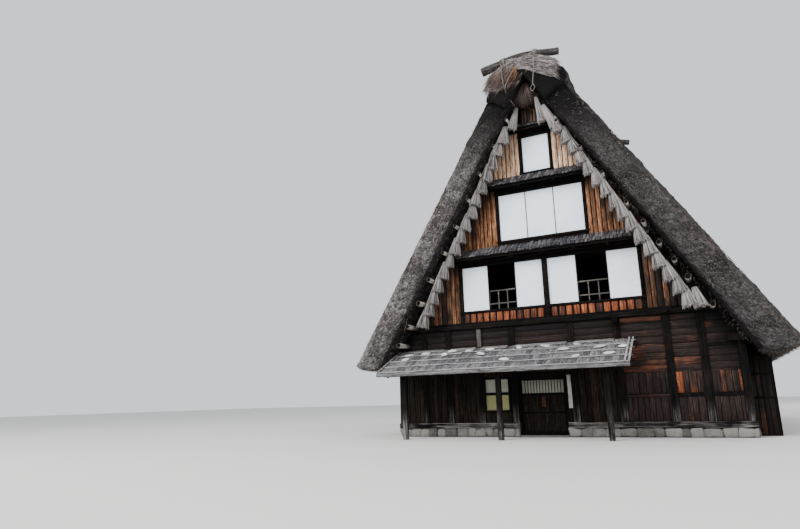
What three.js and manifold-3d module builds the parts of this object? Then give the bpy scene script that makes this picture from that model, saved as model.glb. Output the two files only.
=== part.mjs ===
// A thatched farmhouse with a steep gable front, a lean-to roof over its entrance,
// three storeys of paper windows in the gable and a straw cap over the ridge.
// Millimetres, X right along the gable front, Y into the house, Z up.
// The origin is under the middle of the whole house, on the ground.

import * as THREE from 'three';
import { mergeVertices } from 'three/addons/utils/BufferGeometryUtils.js';
import Module from 'manifold-3d';

const wasm = await Module();
wasm.setup();

// Driving dimensions of the body
const gap = 0.3;
const halfBay = 950;
const houseLength = 16 * halfBay;
const wallHalf = 5500;
const wallThick = 120;
const stoneTop = 270;
const sillTop = 450;
const footing = 40;
const sillDeep = 200;
const beamBottom = 3600;
const beamTop = 3770;

// Driving dimensions of the roof, whose faces rise 1.684 for each 1 across
const roofRise = 1.684;
const soffitHalf = 2593;
const soffitLevel = 7780;
const thatchAcross = 1057;
const verge = 950;
const capTopLevel = 12670;
const capReach = 120;
const slabTopLevel = 11500;
const eave = [[6170, 2300], [6600, 2350], [6840, 2520], [6800, 2640]];
const eaveFootLevel = 2400;

// Driving dimensions of the lean-to roof over the entrance
const leanFront = 1800;
const leanFrontLevel = 2120;
const leanTopLevel = 2930;
const leanLeft = -5420;
const leanRight = 2520;
const leanThick = 60;

// Cutting blocks reach this far past what they cut
const past = 10;

// The whole house reaches from the lean-to roof's front edge to the ridge cap's back end
const frontReach = leanFront;
const backReach = houseLength + verge + capReach;
const middleY = (backReach - frontReach) / 2;

// Half width under the thatch, and over it, at a level
const soffitAt = (z) => soffitHalf + (soffitLevel - z) / roofRise;
const outsideAt = (z) => soffitAt(z) + thatchAcross;
const soffitApex = soffitLevel + soffitHalf * roofRise;
// Level of the thatch's underside above a place across the house
const soffitOver = (x) => soffitLevel + (soffitHalf - Math.abs(x)) * roofRise;

const finish = (color, roughness) => new THREE.MeshStandardMaterial({ color, roughness, metalness: 0 });
const darkTimber = finish('#3a2c24', 0.85);
const boardTimber = finish('#6b4630', 0.85);
const greyTimber = finish('#8a867e', 0.9);
const paper = finish('#e9edf0', 0.75);
const thatch = finish('#57504a', 0.95);
const straw = finish('#9a8f80', 0.95);
const stone = finish('#8d8a84', 0.95);

// Geometry helpers
function block(x0, x1, y0, y1, z0, z1) {
  const geometry = new THREE.BoxGeometry(x1 - x0, y1 - y0, z1 - z0);
  return geometry.translate((x0 + x1) / 2, (y0 + y1) / 2, (z0 + z1) / 2);
}

// An outline of [x, z] points run along Y, its end edges rounded over by a bevel
function alongY(points, y0, y1, bevel = 0) {
  const shape = new THREE.Shape(points.map(([x, z]) => new THREE.Vector2(x, z)));
  const geometry = new THREE.ExtrudeGeometry(shape, {
    depth: y1 - y0 - 2 * bevel,
    bevelEnabled: bevel > 0,
    bevelThickness: bevel,
    bevelSize: bevel,
    bevelOffset: -bevel,
    bevelSegments: 3,
    steps: 1,
  });
  return geometry.rotateX(Math.PI / 2).translate(0, y1 - bevel, 0);
}

// An outline of [y, z] points run along X
function alongX(points, x0, x1) {
  const shape = new THREE.Shape(points.map(([y, z]) => new THREE.Vector2(y, z)));
  const geometry = new THREE.ExtrudeGeometry(shape, { depth: x1 - x0, bevelEnabled: false });
  return geometry.rotateX(Math.PI / 2).rotateZ(Math.PI / 2).translate(x0, 0, 0);
}

// A round log along a curve through the given points
function log(points, radius) {
  const detail = 12;
  const path = new THREE.CatmullRomCurve3(points.map(([x, y, z]) => new THREE.Vector3(x, y, z)));
  const ring = new THREE.Shape();
  ring.absarc(0, 0, radius, 0, 2 * Math.PI);
  return new THREE.ExtrudeGeometry(ring, {
    extrudePath: path,
    steps: detail,
    curveSegments: detail,
    bevelEnabled: false,
  });
}

function toSolid(geometry) {
  const bare = geometry.clone();
  bare.deleteAttribute('normal');
  bare.deleteAttribute('uv');
  const merged = mergeVertices(bare, 1e-3);
  return new wasm.Manifold(new wasm.Mesh({
    numProp: 3,
    vertProperties: merged.attributes.position.array,
    triVerts: Uint32Array.from(merged.index.array),
  }));
}

function toGeometry(solid) {
  const mesh = solid.getMesh();
  const geometry = new THREE.BufferGeometry();
  geometry.setAttribute('position', new THREE.BufferAttribute(new Float32Array(mesh.vertProperties), 3));
  geometry.setIndex(new THREE.BufferAttribute(new Uint32Array(mesh.triVerts), 1));
  geometry.computeVertexNormals();
  return geometry;
}

const joined = (geometries) => toGeometry(geometries.map(toSolid).reduce((sum, next) => sum.add(next)));
const cut = (geometry, tools) => toGeometry(
  tools.map(toSolid).reduce((rest, tool) => rest.subtract(tool), toSolid(geometry)),
);
const mirrored = (points) => points.map(([x, z]) => [-x, z]).reverse();

const house = new THREE.Group();
house.position.y = -middleY;

function piece(name, geometry, material, y = 0) {
  const mesh = new THREE.Mesh(geometry, material);
  mesh.name = name;
  mesh.position.y = y;
  house.add(mesh);
}

// Posts of the front and back, with the depth that stands proud of the wall and is let into it
const postProud = 60;
const postDeep = 60;
const postHalf = 100;
const leftPosts = [-5400, -4480, -3550, -2420, -1280];
const middlePosts = [660, 2070];
const rightPosts = [3500, 4430, 5400];

// The doorway and its sliding board leaf, which runs behind the wall to the right
const doorLeft = -1150;
const doorRight = 350;
const doorHead = 1930;
const doorLap = 20;
const runningGap = 6;
const doorRebate = 70;
const doorThick = 40;
const doorTravel = 1450;
const thresholdTop = 54;
const trackDeep = 80;
const trackPast = 60;
const doorJamb = 30;

// The paper window left of the entrance
const sideWindow = { x0: -2290, x1: -1500, z0: 850, z1: 1850 };

// Mid rail between the posts of the right bays, and the tie and arm at the front corner
const railShy = 10;
const midRail = { z0: 1160, z1: 1260 };
const cornerTie = { z0: 2560, z1: 2680 };
const cornerArm = { x0: 5060, x1: 5480, front: 260, z0: 2680, z1: 2860 };

// A post's top stops under the beam or under the thatch
const thatchClear = 20;
const postTop = (x) => Math.min(beamBottom - gap, soffitOver(Math.abs(x) + postHalf) - thatchClear);

function postBlock(x, front, back) {
  return block(x - postHalf, x + postHalf, front, back, sillTop + gap, postTop(x));
}

// The space that a post takes out of a wall or a roof edge beside it
function housing(x, front, back) {
  const high = postTop(x) < beamBottom - gap ? gap : past;
  const half = postHalf + gap;
  return block(x - half, x + half, front - gap, back + gap, sillTop - past, postTop(x) + high);
}

function foundation() {
  const outer = wallHalf + footing;
  const inner = wallHalf - sillDeep;
  const front = -postProud;
  const back = houseLength + postProud;
  const doorSide = [doorLeft - doorJamb, doorRight + doorJamb];

  const stones = cut(block(-outer, outer, front, back, 0, stoneTop), [
    block(-inner, inner, wallThick, houseLength - wallThick, -past, stoneTop + past),
    block(doorSide[0], doorSide[1], front - past, wallThick + past, thresholdTop, stoneTop + past),
  ]);
  const lipEnds = [doorLeft - trackPast, doorRight + doorTravel + trackPast];
  const lip = block(...lipEnds, wallThick - past, wallThick + trackDeep, 0, thresholdTop);
  piece('base_stones', joined([stones, lip]), stone);

  piece('base_sill', cut(block(-outer, outer, front, back, stoneTop + gap, sillTop), [
    block(-inner, inner, wallThick, houseLength - wallThick, stoneTop - past, sillTop + past),
    block(doorSide[0], doorSide[1], front - past, wallThick + past, stoneTop - past, sillTop + past),
  ]), greyTimber);

  // The raised floor leaves an earth-floored hall behind the door
  const hall = { depth: 1500, past: 250 };
  const floorThick = 120;
  const floorHalf = inner - gap;
  const floorEnds = [wallThick + gap, houseLength - wallThick - gap];
  const floor = block(-floorHalf, floorHalf, ...floorEnds, sillTop - floorThick, sillTop);
  piece('ground_floor', cut(floor, [
    block(doorLeft - hall.past, doorRight + doorTravel + hall.past, 0, hall.depth, 0, sillTop + past),
  ]), boardTimber);
}

function lowerWalls() {
  const top = beamBottom - gap;
  const sideTop = soffitOver(wallHalf) - gap;
  const cornerTop = soffitAt(beamBottom) - gap;
  const bottom = sillTop + gap;

  // Posts let into the wall leave their housings in it
  const housings = (xs) => xs.map((x) => housing(x, -postProud, postDeep));

  const leftOutline = [
    [-wallHalf, bottom], [doorLeft, bottom], [doorLeft, top],
    [-cornerTop, top], [-wallHalf, sideTop],
  ];
  piece('front_wall_left', cut(alongY(leftOutline, 0, wallThick), [
    ...housings(leftPosts),
    block(sideWindow.x0, sideWindow.x1, -past, wallThick + past, sideWindow.z0, sideWindow.z1),
  ]), boardTimber);
  const rightOutline = [
    [doorRight, bottom], [wallHalf, bottom], [wallHalf, sideTop],
    [cornerTop, top], [doorRight, top],
  ];
  piece('front_wall_right', cut(
    alongY(rightOutline, 0, wallThick),
    housings([...middlePosts, ...rightPosts]),
  ), boardTimber);

  // The track over the door runs as far right as the leaf slides
  const trackEnds = [doorLeft - trackPast, doorRight + doorTravel + trackPast];
  const trackHigh = 90;
  const trackLow = doorHead + doorRebate;
  const track = block(...trackEnds, wallThick + gap, wallThick + trackDeep, trackLow, trackLow + trackHigh);
  const lintel = block(doorLeft + gap, doorRight - gap, 0, wallThick + 2 * gap, doorHead, top);
  piece('front_wall_over_door', joined([lintel, track]), boardTimber);

  const sideWall = (side) => {
    const inside = wallHalf - wallThick;
    const points = [
      [wallHalf, bottom], [wallHalf, sideTop],
      [inside, soffitOver(inside) - gap], [inside, bottom],
    ];
    return alongY(points.map(([x, z]) => [side * x, z]), wallThick + gap, houseLength - wallThick - gap);
  };
  piece('left_wall', sideWall(-1), boardTimber);
  piece('right_wall', sideWall(1), boardTimber);

  // A low boarded aisle closes the space under the right eave, set back from the front corner
  const aisle = { front: 900, out: 6080, high: 2290, thick: 80 };
  const ends = [aisle.front, houseLength - aisle.front];
  const inside = [aisle.front + aisle.thick, houseLength - aisle.front - aisle.thick];
  piece('right_aisle_wall', cut(
    block(wallHalf + footing + gap, aisle.out, ...ends, 0, aisle.high),
    [block(wallHalf - past, aisle.out - aisle.thick, ...inside, -past, aisle.high + past)],
  ), boardTimber);

  const backPosts = [...leftPosts, ...middlePosts, ...rightPosts];
  const outline = [
    [-wallHalf, bottom], [wallHalf, bottom], [wallHalf, sideTop],
    [cornerTop, top], [-cornerTop, top], [-wallHalf, sideTop],
  ];
  piece('back_wall', cut(
    alongY(outline, -wallThick, 0),
    backPosts.map((x) => housing(x, -postDeep, postProud)),
  ), boardTimber, houseLength);
  piece('back_posts', joined([
    ...backPosts.map((x) => postBlock(x, -postDeep, postProud)),
    block(leftPosts[0], rightPosts[2], gap, postProud - railShy, midRail.z0, midRail.z1),
  ]), darkTimber, houseLength);
}

function frontPosts() {
  // The ledger that carries the lean-to roof's upper edge ties the posts left of the entrance's right side
  const ledger = { top: leanTopLevel - leanThick - 60, high: 150, front: 100 };
  piece('front_posts_left', joined([
    ...[...leftPosts, ...middlePosts].map((x) => postBlock(x, -postProud, postDeep)),
    block(leftPosts[0], leanRight, -ledger.front, -gap, ledger.top - ledger.high, ledger.top),
  ]), darkTimber);

  // Mid rail, head rail and the short tie whose cut end shows at the corner
  const [first, middle, last] = rightPosts;
  const railFront = -postProud + railShy;
  piece('front_posts_right', joined([
    ...rightPosts.map((x) => postBlock(x, -postProud, postDeep)),
    block(first, last, railFront, -gap, midRail.z0, midRail.z1),
    block(middle, last, railFront, -gap, cornerTie.z0, cornerTie.z1),
    block(cornerArm.x0, cornerArm.x1, -cornerArm.front, -postProud / 2, cornerArm.z0, cornerArm.z1),
  ]), darkTimber);
}

// Under and upper faces of the two floors above the beam
const atticFloors = [[6050, 6170], [8420, 8520]];

function beams() {
  const reach = soffitAt(beamTop) - thatchClear;
  const beamFront = 120;
  const beamBack = 30;
  const front = block(-reach, reach, -beamFront, beamBack, beamBottom, beamTop);

  // A round log end rests through the beam over the first right post
  const through = { x: 3510, reach: 340, radius: 84 };
  const throughEnds = [-through.reach, -through.reach / 2, -beamFront + 5];
  const throughPoints = throughEnds.map((y) => [through.x, y, (beamBottom + beamTop) / 2]);
  piece('front_beam', joined([front, log(throughPoints, through.radius)]), darkTimber);
  const backEnds = [houseLength - beamBack, houseLength + beamFront];
  piece('back_beam', block(-reach, reach, ...backEnds, beamBottom, beamTop), darkTimber);

  const floor = (name, z0, z1, y0) => {
    const low = soffitAt(z0) - 2 * gap;
    const high = soffitAt(z1) - 2 * gap;
    const section = [[-low, z0], [low, z0], [high, z1], [-high, z1]];
    piece(name, alongY(section, y0, houseLength - y0), boardTimber);
  };
  floor('attic_floor_1', beamBottom, beamTop, beamBack + gap);
  atticFloors.forEach(([z0, z1], i) => floor(`attic_floor_${i + 2}`, z0, z1, wallThick + gap));
}

// Windows of the gable: three storeys of openings
const row1 = { z0: 4211, z1: 5776, inner: 81, panel: halfBay };
const row2 = { z0: 6566, z1: 8227, half: 1446 };
const row3 = { z0: 8910, z1: 10219, half: 470 };
const row1Outer = row1.inner + 3 * row1.panel;
const windowOpenings = [
  { x0: -row1Outer, x1: -row1.inner, z0: row1.z0, z1: row1.z1 },
  { x0: row1.inner, x1: row1Outer, z0: row1.z0, z1: row1.z1 },
  { x0: -row2.half, x1: row2.half, z0: row2.z0, z1: row2.z1 },
  { x0: -row3.half, x1: row3.half, z0: row3.z0, z1: row3.z1 },
];
const panelFront = 20;
const panelThick = 35;

const peakShy = 2;

function gables() {
  const bottom = beamTop + gap;
  const foot = soffitAt(bottom) - 2 * gap;
  const peak = soffitApex - peakShy;
  const triangle = (y0) => alongY([[-foot, bottom], [foot, bottom], [0, peak]], y0, y0 + wallThick);
  const holes = (y0) => windowOpenings.map((w) => (
    block(w.x0, w.x1, y0 - past, y0 + wallThick + past, w.z0, w.z1)
  ));
  piece('front_gable_wall', cut(triangle(0), holes(0)), boardTimber);
  piece('back_gable_wall', cut(triangle(-wallThick), holes(-wallThick)), boardTimber, houseLength);
}

function panelBlock(x0, x1, row, front) {
  return block(x0 + gap, x1 - gap, front, front + panelThick, row.z0 + gap, row.z1 - gap);
}

function gablePanels() {
  // The first and third panels of each half of the lowest row are shut, the middle one is slid open
  const starts = [-row1Outer, -row1.inner - row1.panel, row1.inner, row1.inner + 2 * row1.panel];
  starts.forEach((x, i) => {
    piece(`front_panel_1_${i + 1}`, panelBlock(x, x + row1.panel, row1, panelFront), paper);
  });
  piece('front_panels_2', panelBlock(-row2.half, row2.half, row2, panelFront), paper);
  piece('front_panel_3', panelBlock(-row3.half, row3.half, row3, panelFront), paper);

  // The back gable has one shut sheet in each window
  const backFront = houseLength - panelFront - panelThick;
  windowOpenings.forEach((w, i) => {
    piece(`back_panels_${i + 1}`, panelBlock(w.x0, w.x1, w, backFront), paper);
  });
}

function windowRails() {
  const levels = [4400, 4850];
  const high = 40;
  const front = panelFront + panelThick + 5;
  const back = front + 40;
  const upright = { half: 17, shy: 3, pitch: halfBay / 3, count: 8 };
  for (const [name, window] of [['left', windowOpenings[0]], ['right', windowOpenings[1]]]) {
    const rails = levels.map((z) => block(window.x0 + gap, window.x1 - gap, front, back, z, z + high));
    const uprights = [];
    for (let i = 1; i <= upright.count; i += 1) {
      const x = window.x0 + i * upright.pitch;
      const top = levels[1] + upright.shy;
      const across = [x - upright.half, x + upright.half];
      uprights.push(block(...across, front + upright.shy, back - upright.shy, window.z0 + gap, top));
    }
    piece(`window_rail_${name}`, joined([...rails, ...uprights]), darkTimber);
  }
}

// Small shingled pent roofs across the gable, one over each storey of windows
const gablePents = [
  { level: 6000, half: 3300, reach: 450, rise: 320 },
  { level: 8440, half: 1900, reach: 420, rise: 320 },
  { level: 10440, half: 740, reach: 330, rise: 220 },
];

function pents() {
  const thick = 55;
  gablePents.forEach((p, i) => {
    const top = p.level + p.rise;
    const section = [[-gap, top], [-gap, top + thick], [-p.reach, p.level + thick], [-p.reach, p.level]];
    piece(`front_pent_${i + 1}`, alongX(section, -p.half, p.half), greyTimber);
    const turned = section.map(([y, z]) => [houseLength - y, z]).reverse();
    piece(`back_pent_${i + 1}`, alongX(turned, -p.half, p.half), greyTimber);
  });
}

// A long block lying in the roof's slope, whose outer corners are rounded at both verges
function roundedVerges(across, thick) {
  const radius = 420;
  const top = thick + 130;
  const under = -100;
  const slopeLong = 14000;
  const front = -verge;
  const back = houseLength + verge;
  const shape = new THREE.Shape();
  shape.moveTo(front, under);
  shape.lineTo(back, under);
  shape.lineTo(back, top - radius);
  shape.absarc(back - radius, top - radius, radius, 0, Math.PI / 2);
  shape.lineTo(front + radius, top);
  shape.absarc(front + radius, top - radius, radius, Math.PI / 2, Math.PI);
  const geometry = new THREE.ExtrudeGeometry(shape, {
    depth: slopeLong,
    bevelEnabled: false,
    curveSegments: 4,
  });
  const [sine, cosine] = across;
  const turn = new THREE.Matrix4().makeBasis(
    new THREE.Vector3(0, 1, 0),
    new THREE.Vector3(sine, 0, cosine),
    new THREE.Vector3(cosine, 0, -sine),
  );
  return geometry.applyMatrix4(turn).translate(0, 0, soffitApex);
}

function roof() {
  const across = [Math.sin(Math.atan(roofRise)), Math.cos(Math.atan(roofRise))];
  const thick = thatchAcross * across[0];
  const shoulder = [outsideAt(slabTopLevel), slabTopLevel];
  const crown = [shoulder[0] - thick * across[0], shoulder[1] - thick * across[1]];
  const slab = [[soffitAt(eaveFootLevel), eaveFootLevel], ...eave, shoulder, crown];
  const straight = alongY(slab, -verge, houseLength + verge);
  const right = toGeometry(toSolid(straight).intersect(toSolid(roundedVerges(across, thick))));
  piece('thatch_right', right, thatch);
  piece('thatch_left', right.clone().rotateZ(Math.PI).translate(0, houseLength, 0), thatch);

  // The straw cap folds over the ridge and stands on the cut tops of both slabs
  const lift = 2 * gap;
  const raised = (points) => points.map(([x, z]) => [x, z + lift]);
  const outerRight = raised([
    shoulder, [1480, 11720], [1400, 11980],
    [1180, 12230], [820, 12450], [350, capTopLevel],
  ]);
  const outerLeft = raised([
    [-350, capTopLevel], [-800, 12460], [-1090, 12260],
    [-1240, 12050], [-1280, 11700], [-1350, 11446],
  ]);
  const innerSide = raised([crown, [0, soffitApex]]);
  const [capCrown, capPeak] = innerSide;
  const cap = [...outerRight, ...outerLeft, ...mirrored([capCrown]), capPeak, capCrown];
  const capEnds = [-verge - capReach, houseLength + verge + capReach];
  piece('ridge_cap', alongY(cap, capEnds[0], capEnds[1], 60), thatch);

  const logRadius = 130;
  const seat = capTopLevel + 2 * lift + logRadius;
  const crest = [-450, -150, 150, 450];
  const lying = (left, right, y, drop, rightDrop = drop) => log([
    [left, y, seat - drop],
    ...crest.map((x) => [x, y, seat]),
    [right, y, seat - rightDrop],
  ], logRadius);
  const endLog = { left: -1480, right: 1230, out: 820, drop: 140 };
  const endLying = (y) => lying(endLog.left, endLog.right, y, endLog.drop);
  piece('ridge_log_front', endLying(-endLog.out), greyTimber);
  piece('ridge_log_back', endLying(houseLength + endLog.out), greyTimber);
  piece('ridge_log_middle', lying(-1700, 2450, houseLength / 2, 90, 400), greyTimber);
}

// Straw bundles hang in steps along the inner edge of each verge, a row to each side, closer to
// the thatch the higher they hang
function vergeStraw() {
  const count = 18;
  const low = 3700;
  const step = 410;
  const reach = { foot: 950, head: 560 };
  const nearWall = 470;
  const deep = 310;
  const seat = 0.4;
  const high = low + count * step;
  const reachAt = (z) => reach.foot + (reach.head - reach.foot) * (z - low) / (high - low);
  const steps = (side) => {
    const inner = [];
    for (let z = low; z < high; z += step) {
      const x = soffitAt(z) - reachAt(z);
      inner.push([x, z], [x, z + step]);
    }
    const outline = [[soffitAt(low) - seat, low], [soffitAt(high) - seat, high], ...inner.reverse()];
    return outline.map(([x, z]) => [side * x, z]);
  };
  for (const [name, side] of [['left', -1], ['right', 1]]) {
    piece(`front_verge_straw_${name}`, alongY(steps(side), -nearWall - deep, -nearWall), straw);
    piece(`back_verge_straw_${name}`, alongY(steps(side), nearWall, nearWall + deep), straw, houseLength);
  }
}

function leanTo() {
  // The slab rests on the ledger behind and on the porch beam in front
  const slope = (leanTopLevel - leanFrontLevel) / leanFront;
  const top = (y) => leanTopLevel + y * slope;
  const frontTop = top(-leanFront);
  const section = [
    [-gap, top(0)], [-leanFront, frontTop],
    [-leanFront, frontTop - leanThick], [-gap, top(0) - leanThick],
  ];
  const housings = [...leftPosts, ...middlePosts].map((x) => housing(x, -postProud, postDeep));
  piece('lean_to_roof', cut(alongX(section, leanLeft, leanRight), housings), greyTimber);

  const beam = { y: -1500, half: 70, high: 140, inset: 80 };
  const under = top(beam.y - beam.half) - leanThick - gap;
  const porchPosts = [-4580, -1360, 1860];
  const side = 75;
  const beamEnds = [leanLeft + beam.inset, leanRight - beam.inset];
  piece('porch_frame', joined([
    block(...beamEnds, beam.y - beam.half, beam.y + beam.half, under - beam.high, under),
    ...porchPosts.map((x) => (
      block(x - side, x + side, beam.y - side, beam.y + side, 0, under - beam.high / 2)
    )),
  ]), darkTimber);
}

function entrance() {
  piece('entrance_window', panelBlock(sideWindow.x0, sideWindow.x1, sideWindow, panelFront), paper);
  const leafFront = wallThick + runningGap;
  piece('entrance_door', block(
    doorLeft - doorLap, doorRight + doorLap,
    leafFront, leafFront + doorThick,
    thresholdTop + runningGap, doorHead + doorRebate - runningGap,
  ), boardTimber);
}

foundation();
lowerWalls();
frontPosts();
beams();
gables();
gablePanels();
windowRails();
pents();
roof();
vergeStraw();
leanTo();
entrance();

const object = new THREE.Group();
object.add(house);
export default object;
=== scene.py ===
import math

import bmesh
import bpy
import numpy as np
from mathutils import Euler, Matrix, Vector, noise


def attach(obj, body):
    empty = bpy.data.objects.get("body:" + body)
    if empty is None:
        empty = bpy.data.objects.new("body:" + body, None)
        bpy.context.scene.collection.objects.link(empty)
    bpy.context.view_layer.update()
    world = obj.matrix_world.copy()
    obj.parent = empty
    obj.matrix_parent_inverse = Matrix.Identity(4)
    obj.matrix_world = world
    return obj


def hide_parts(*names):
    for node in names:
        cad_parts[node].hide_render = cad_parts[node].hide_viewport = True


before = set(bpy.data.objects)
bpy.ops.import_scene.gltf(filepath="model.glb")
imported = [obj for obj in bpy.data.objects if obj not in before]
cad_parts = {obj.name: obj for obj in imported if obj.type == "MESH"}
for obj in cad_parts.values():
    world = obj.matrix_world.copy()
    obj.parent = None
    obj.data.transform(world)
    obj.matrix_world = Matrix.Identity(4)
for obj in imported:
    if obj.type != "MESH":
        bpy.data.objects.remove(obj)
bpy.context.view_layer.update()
print("frame loaded")

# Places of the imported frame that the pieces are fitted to
frontWall = -7.235
backWall = 7.965
middleY = (frontWall + backWall) / 2
wallHalf = 5.5
roofRise = 1.684
soffitHalf = 2.593
soffitLevel = 7.78
verge = 0.95
slopeAngle = math.atan(roofRise)
beamBottom = 3.6
pentLevels = [6.0, 8.44, 10.44]
sillTop = 0.45
boardFoot = sillTop + 0.005
seat = 0.0005  # so far boards stand off the wall that carries them
posts = {"left": [-5.4, -4.48, -3.55, -2.42, -1.28], "middle": [0.66, 2.07], "right": [3.5, 4.43, 5.4]}


def soffitAt(level):
    return soffitHalf + (soffitLevel - level) / roofRise


def wallY(side, out):
    # a place so far out of the front or the back wall
    return frontWall - out if side == "front" else backWall + out


# The camera stands where the photograph was taken
shot = {"spot": (4.547, -27.010, 1.258), "yaw": -26.702, "pitch": 12.681, "roll": -1.487, "lens": 27.13}


def addCamera():
    yaw, pitch, roll = (math.radians(shot[key]) for key in ("yaw", "pitch", "roll"))
    ahead = Vector((math.sin(yaw) * math.cos(pitch), math.cos(yaw) * math.cos(pitch), math.sin(pitch)))
    level = Vector((math.cos(yaw), -math.sin(yaw), 0))
    over = level.cross(ahead)
    right = math.cos(roll) * level + math.sin(roll) * over
    up = -math.sin(roll) * level + math.cos(roll) * over
    camera = bpy.data.objects.new("camera", bpy.data.cameras.new("camera"))
    bpy.context.scene.collection.objects.link(camera)
    camera.data.lens = shot["lens"]
    camera.data.sensor_width = 36
    camera.data.clip_end = 300
    turn = Matrix((right, up, -ahead)).transposed().to_4x4()
    camera.matrix_world = Matrix.Translation(shot["spot"]) @ turn
    bpy.context.scene.camera = camera


addCamera()
print("camera placed")


# Soft studio light: a pale sky and large soft boxes
studio = {
    "sky": (0.93, 0.96, 1.0),
    "skyStrength": 1.12,
    "boxes": [
        {"spot": (-14, -34, 26), "aim": (0, -6, 5), "size": 22, "power": 17500},
        {"spot": (22, -26, 14), "aim": (1, -6, 4), "size": 16, "power": 2600},
        {"spot": (26, 36, 24), "aim": (0, 4, 5), "size": 20, "power": 7500},
    ],
    "floor": (0.62, 0.61, 0.59),
}


def meshOf(name, bm):
    mesh = bpy.data.meshes.new(name)
    bm.to_mesh(mesh)
    bm.free()
    return mesh


def addStudio():
    world = bpy.data.worlds.new("sky")
    bpy.context.scene.world = world
    world.use_nodes = True
    sky = world.node_tree.nodes["Background"]
    sky.inputs["Color"].default_value = (*studio["sky"], 1)
    sky.inputs["Strength"].default_value = studio["skyStrength"]
    for number, box in enumerate(studio["boxes"]):
        light = bpy.data.lights.new(f"softBox{number}", "AREA")
        light.size = box["size"]
        light.energy = box["power"]
        lamp = bpy.data.objects.new(light.name, light)
        bpy.context.scene.collection.objects.link(lamp)
        lamp.location = box["spot"]
        lamp.rotation_euler = (Vector(box["aim"]) - lamp.location).to_track_quat("-Z", "Y").to_euler()
    bm = bmesh.new()
    bmesh.ops.create_grid(bm, x_segments=1, y_segments=1, size=120)
    bmesh.ops.translate(bm, verts=bm.verts, vec=(0, 0, -0.002))
    mesh = meshOf("floor", bm)
    floor = bpy.data.objects.new("floor", mesh)
    bpy.context.scene.collection.objects.link(floor)
    plain = bpy.data.materials.new("paleFloor")
    plain.use_nodes = True
    shader = plain.node_tree.nodes["Principled BSDF"]
    shader.inputs["Base Color"].default_value = (*studio["floor"], 1)
    shader.inputs["Roughness"].default_value = 0.9
    mesh.materials.append(plain)


addStudio()
print("studio lit")


class Shade:
    # one socket of a finish, so that a sum written in Python adds its Math nodes
    def __init__(self, finish, socket):
        self.finish = finish
        self.socket = socket

    def maths(self, operation, *values):
        return self.finish.node("Math", {"operation": operation}, dict(enumerate(values)))

    def __add__(self, other):
        return self.maths("ADD", self, other)

    def __radd__(self, other):
        return self.maths("ADD", other, self)

    def __sub__(self, other):
        return self.maths("SUBTRACT", self, other)

    def __rsub__(self, other):
        return self.maths("SUBTRACT", other, self)

    def __mul__(self, other):
        return self.maths("MULTIPLY", self, other)

    def __rmul__(self, other):
        return self.maths("MULTIPLY", other, self)

    def step(self, low, high):
        # 0 below the low value, 1 above the high one, smooth between
        inputs = {"Value": self, "From Min": low, "From Max": high}
        return self.finish.node("MapRange", {"interpolation_type": "SMOOTHSTEP"}, inputs)


class Finish:
    # a procedural material on one Principled shader
    def __init__(self, name, roughness=0.85, gloss=0.3):
        self.material = bpy.data.materials.new(name)
        self.material.use_nodes = True
        self.tree = self.material.node_tree
        self.shader = self.tree.nodes["Principled BSDF"]
        self.shader.inputs["Roughness"].default_value = roughness
        self.shader.inputs["Specular IOR Level"].default_value = gloss

    def join(self, value, socket):
        if isinstance(value, Shade):
            self.tree.links.new(value.socket, socket)
        elif socket.type == "RGBA":
            socket.default_value = (*value[:3], 1)
        else:
            socket.default_value = value

    def node(self, kind, settings=None, inputs=None, output=0):
        made = self.tree.nodes.new("ShaderNode" + kind)
        for key, value in (settings or {}).items():
            if key == "stops":
                for place, colour in value[2:]:
                    made.color_ramp.elements.new(place)
                for element, (place, colour) in zip(made.color_ramp.elements, value):
                    element.position = place
                    element.color = (*colour, 1)
            else:
                setattr(made, key, value)
        for key, value in (inputs or {}).items():
            self.join(value, made.inputs[key])
        return Shade(self, made.outputs[output])

    def place(self):
        return self.node("TexCoord", output="Object")

    def attribute(self, name, output="Fac"):
        return self.node("Attribute", {"attribute_name": name}, output=output)

    def shifted(self, place, amount):
        # each board, straw or stone reads its own part of the pattern
        away = self.node("VectorMath", {"operation": "SCALE"}, {0: (31.0, 17.0, 23.0), "Scale": amount})
        return self.node("VectorMath", {"operation": "ADD"}, {0: place, 1: away})

    def stretched(self, place, scale):
        return self.node("Mapping", {}, {"Vector": place, "Scale": scale})

    def part(self, vector, axis):
        return self.node("SeparateXYZ", {}, {"Vector": vector}, output="xyz".index(axis))

    def noise(self, place, scale, detail, rough, twist=0.0):
        inputs = {"Vector": place, "Scale": scale, "Detail": detail, "Roughness": rough, "Distortion": twist}
        return self.node("TexNoise", {}, inputs)

    def streaks(self, place, stretch, detail, rough, twist=0.0):
        # noise drawn out along the axes with the lower scales
        return self.noise(self.stretched(place, stretch), 1.0, detail, rough, twist)

    def ramp(self, value, stops):
        return self.node("ValToRGB", {"stops": stops}, {"Fac": value})

    def mix(self, amount, first, second):
        return self.node("Mix", {"data_type": "RGBA"}, {0: amount, 6: first, 7: second}, output=2)

    def use(self, colour, height, depth, roughness=None):
        self.join(colour, self.shader.inputs["Base Color"])
        bump = self.node("Bump", {}, {"Height": height, "Distance": depth, "Strength": 1.0})
        self.join(bump, self.shader.inputs["Normal"])
        if roughness:
            self.join(roughness, self.shader.inputs["Roughness"])
        return self.material


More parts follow.
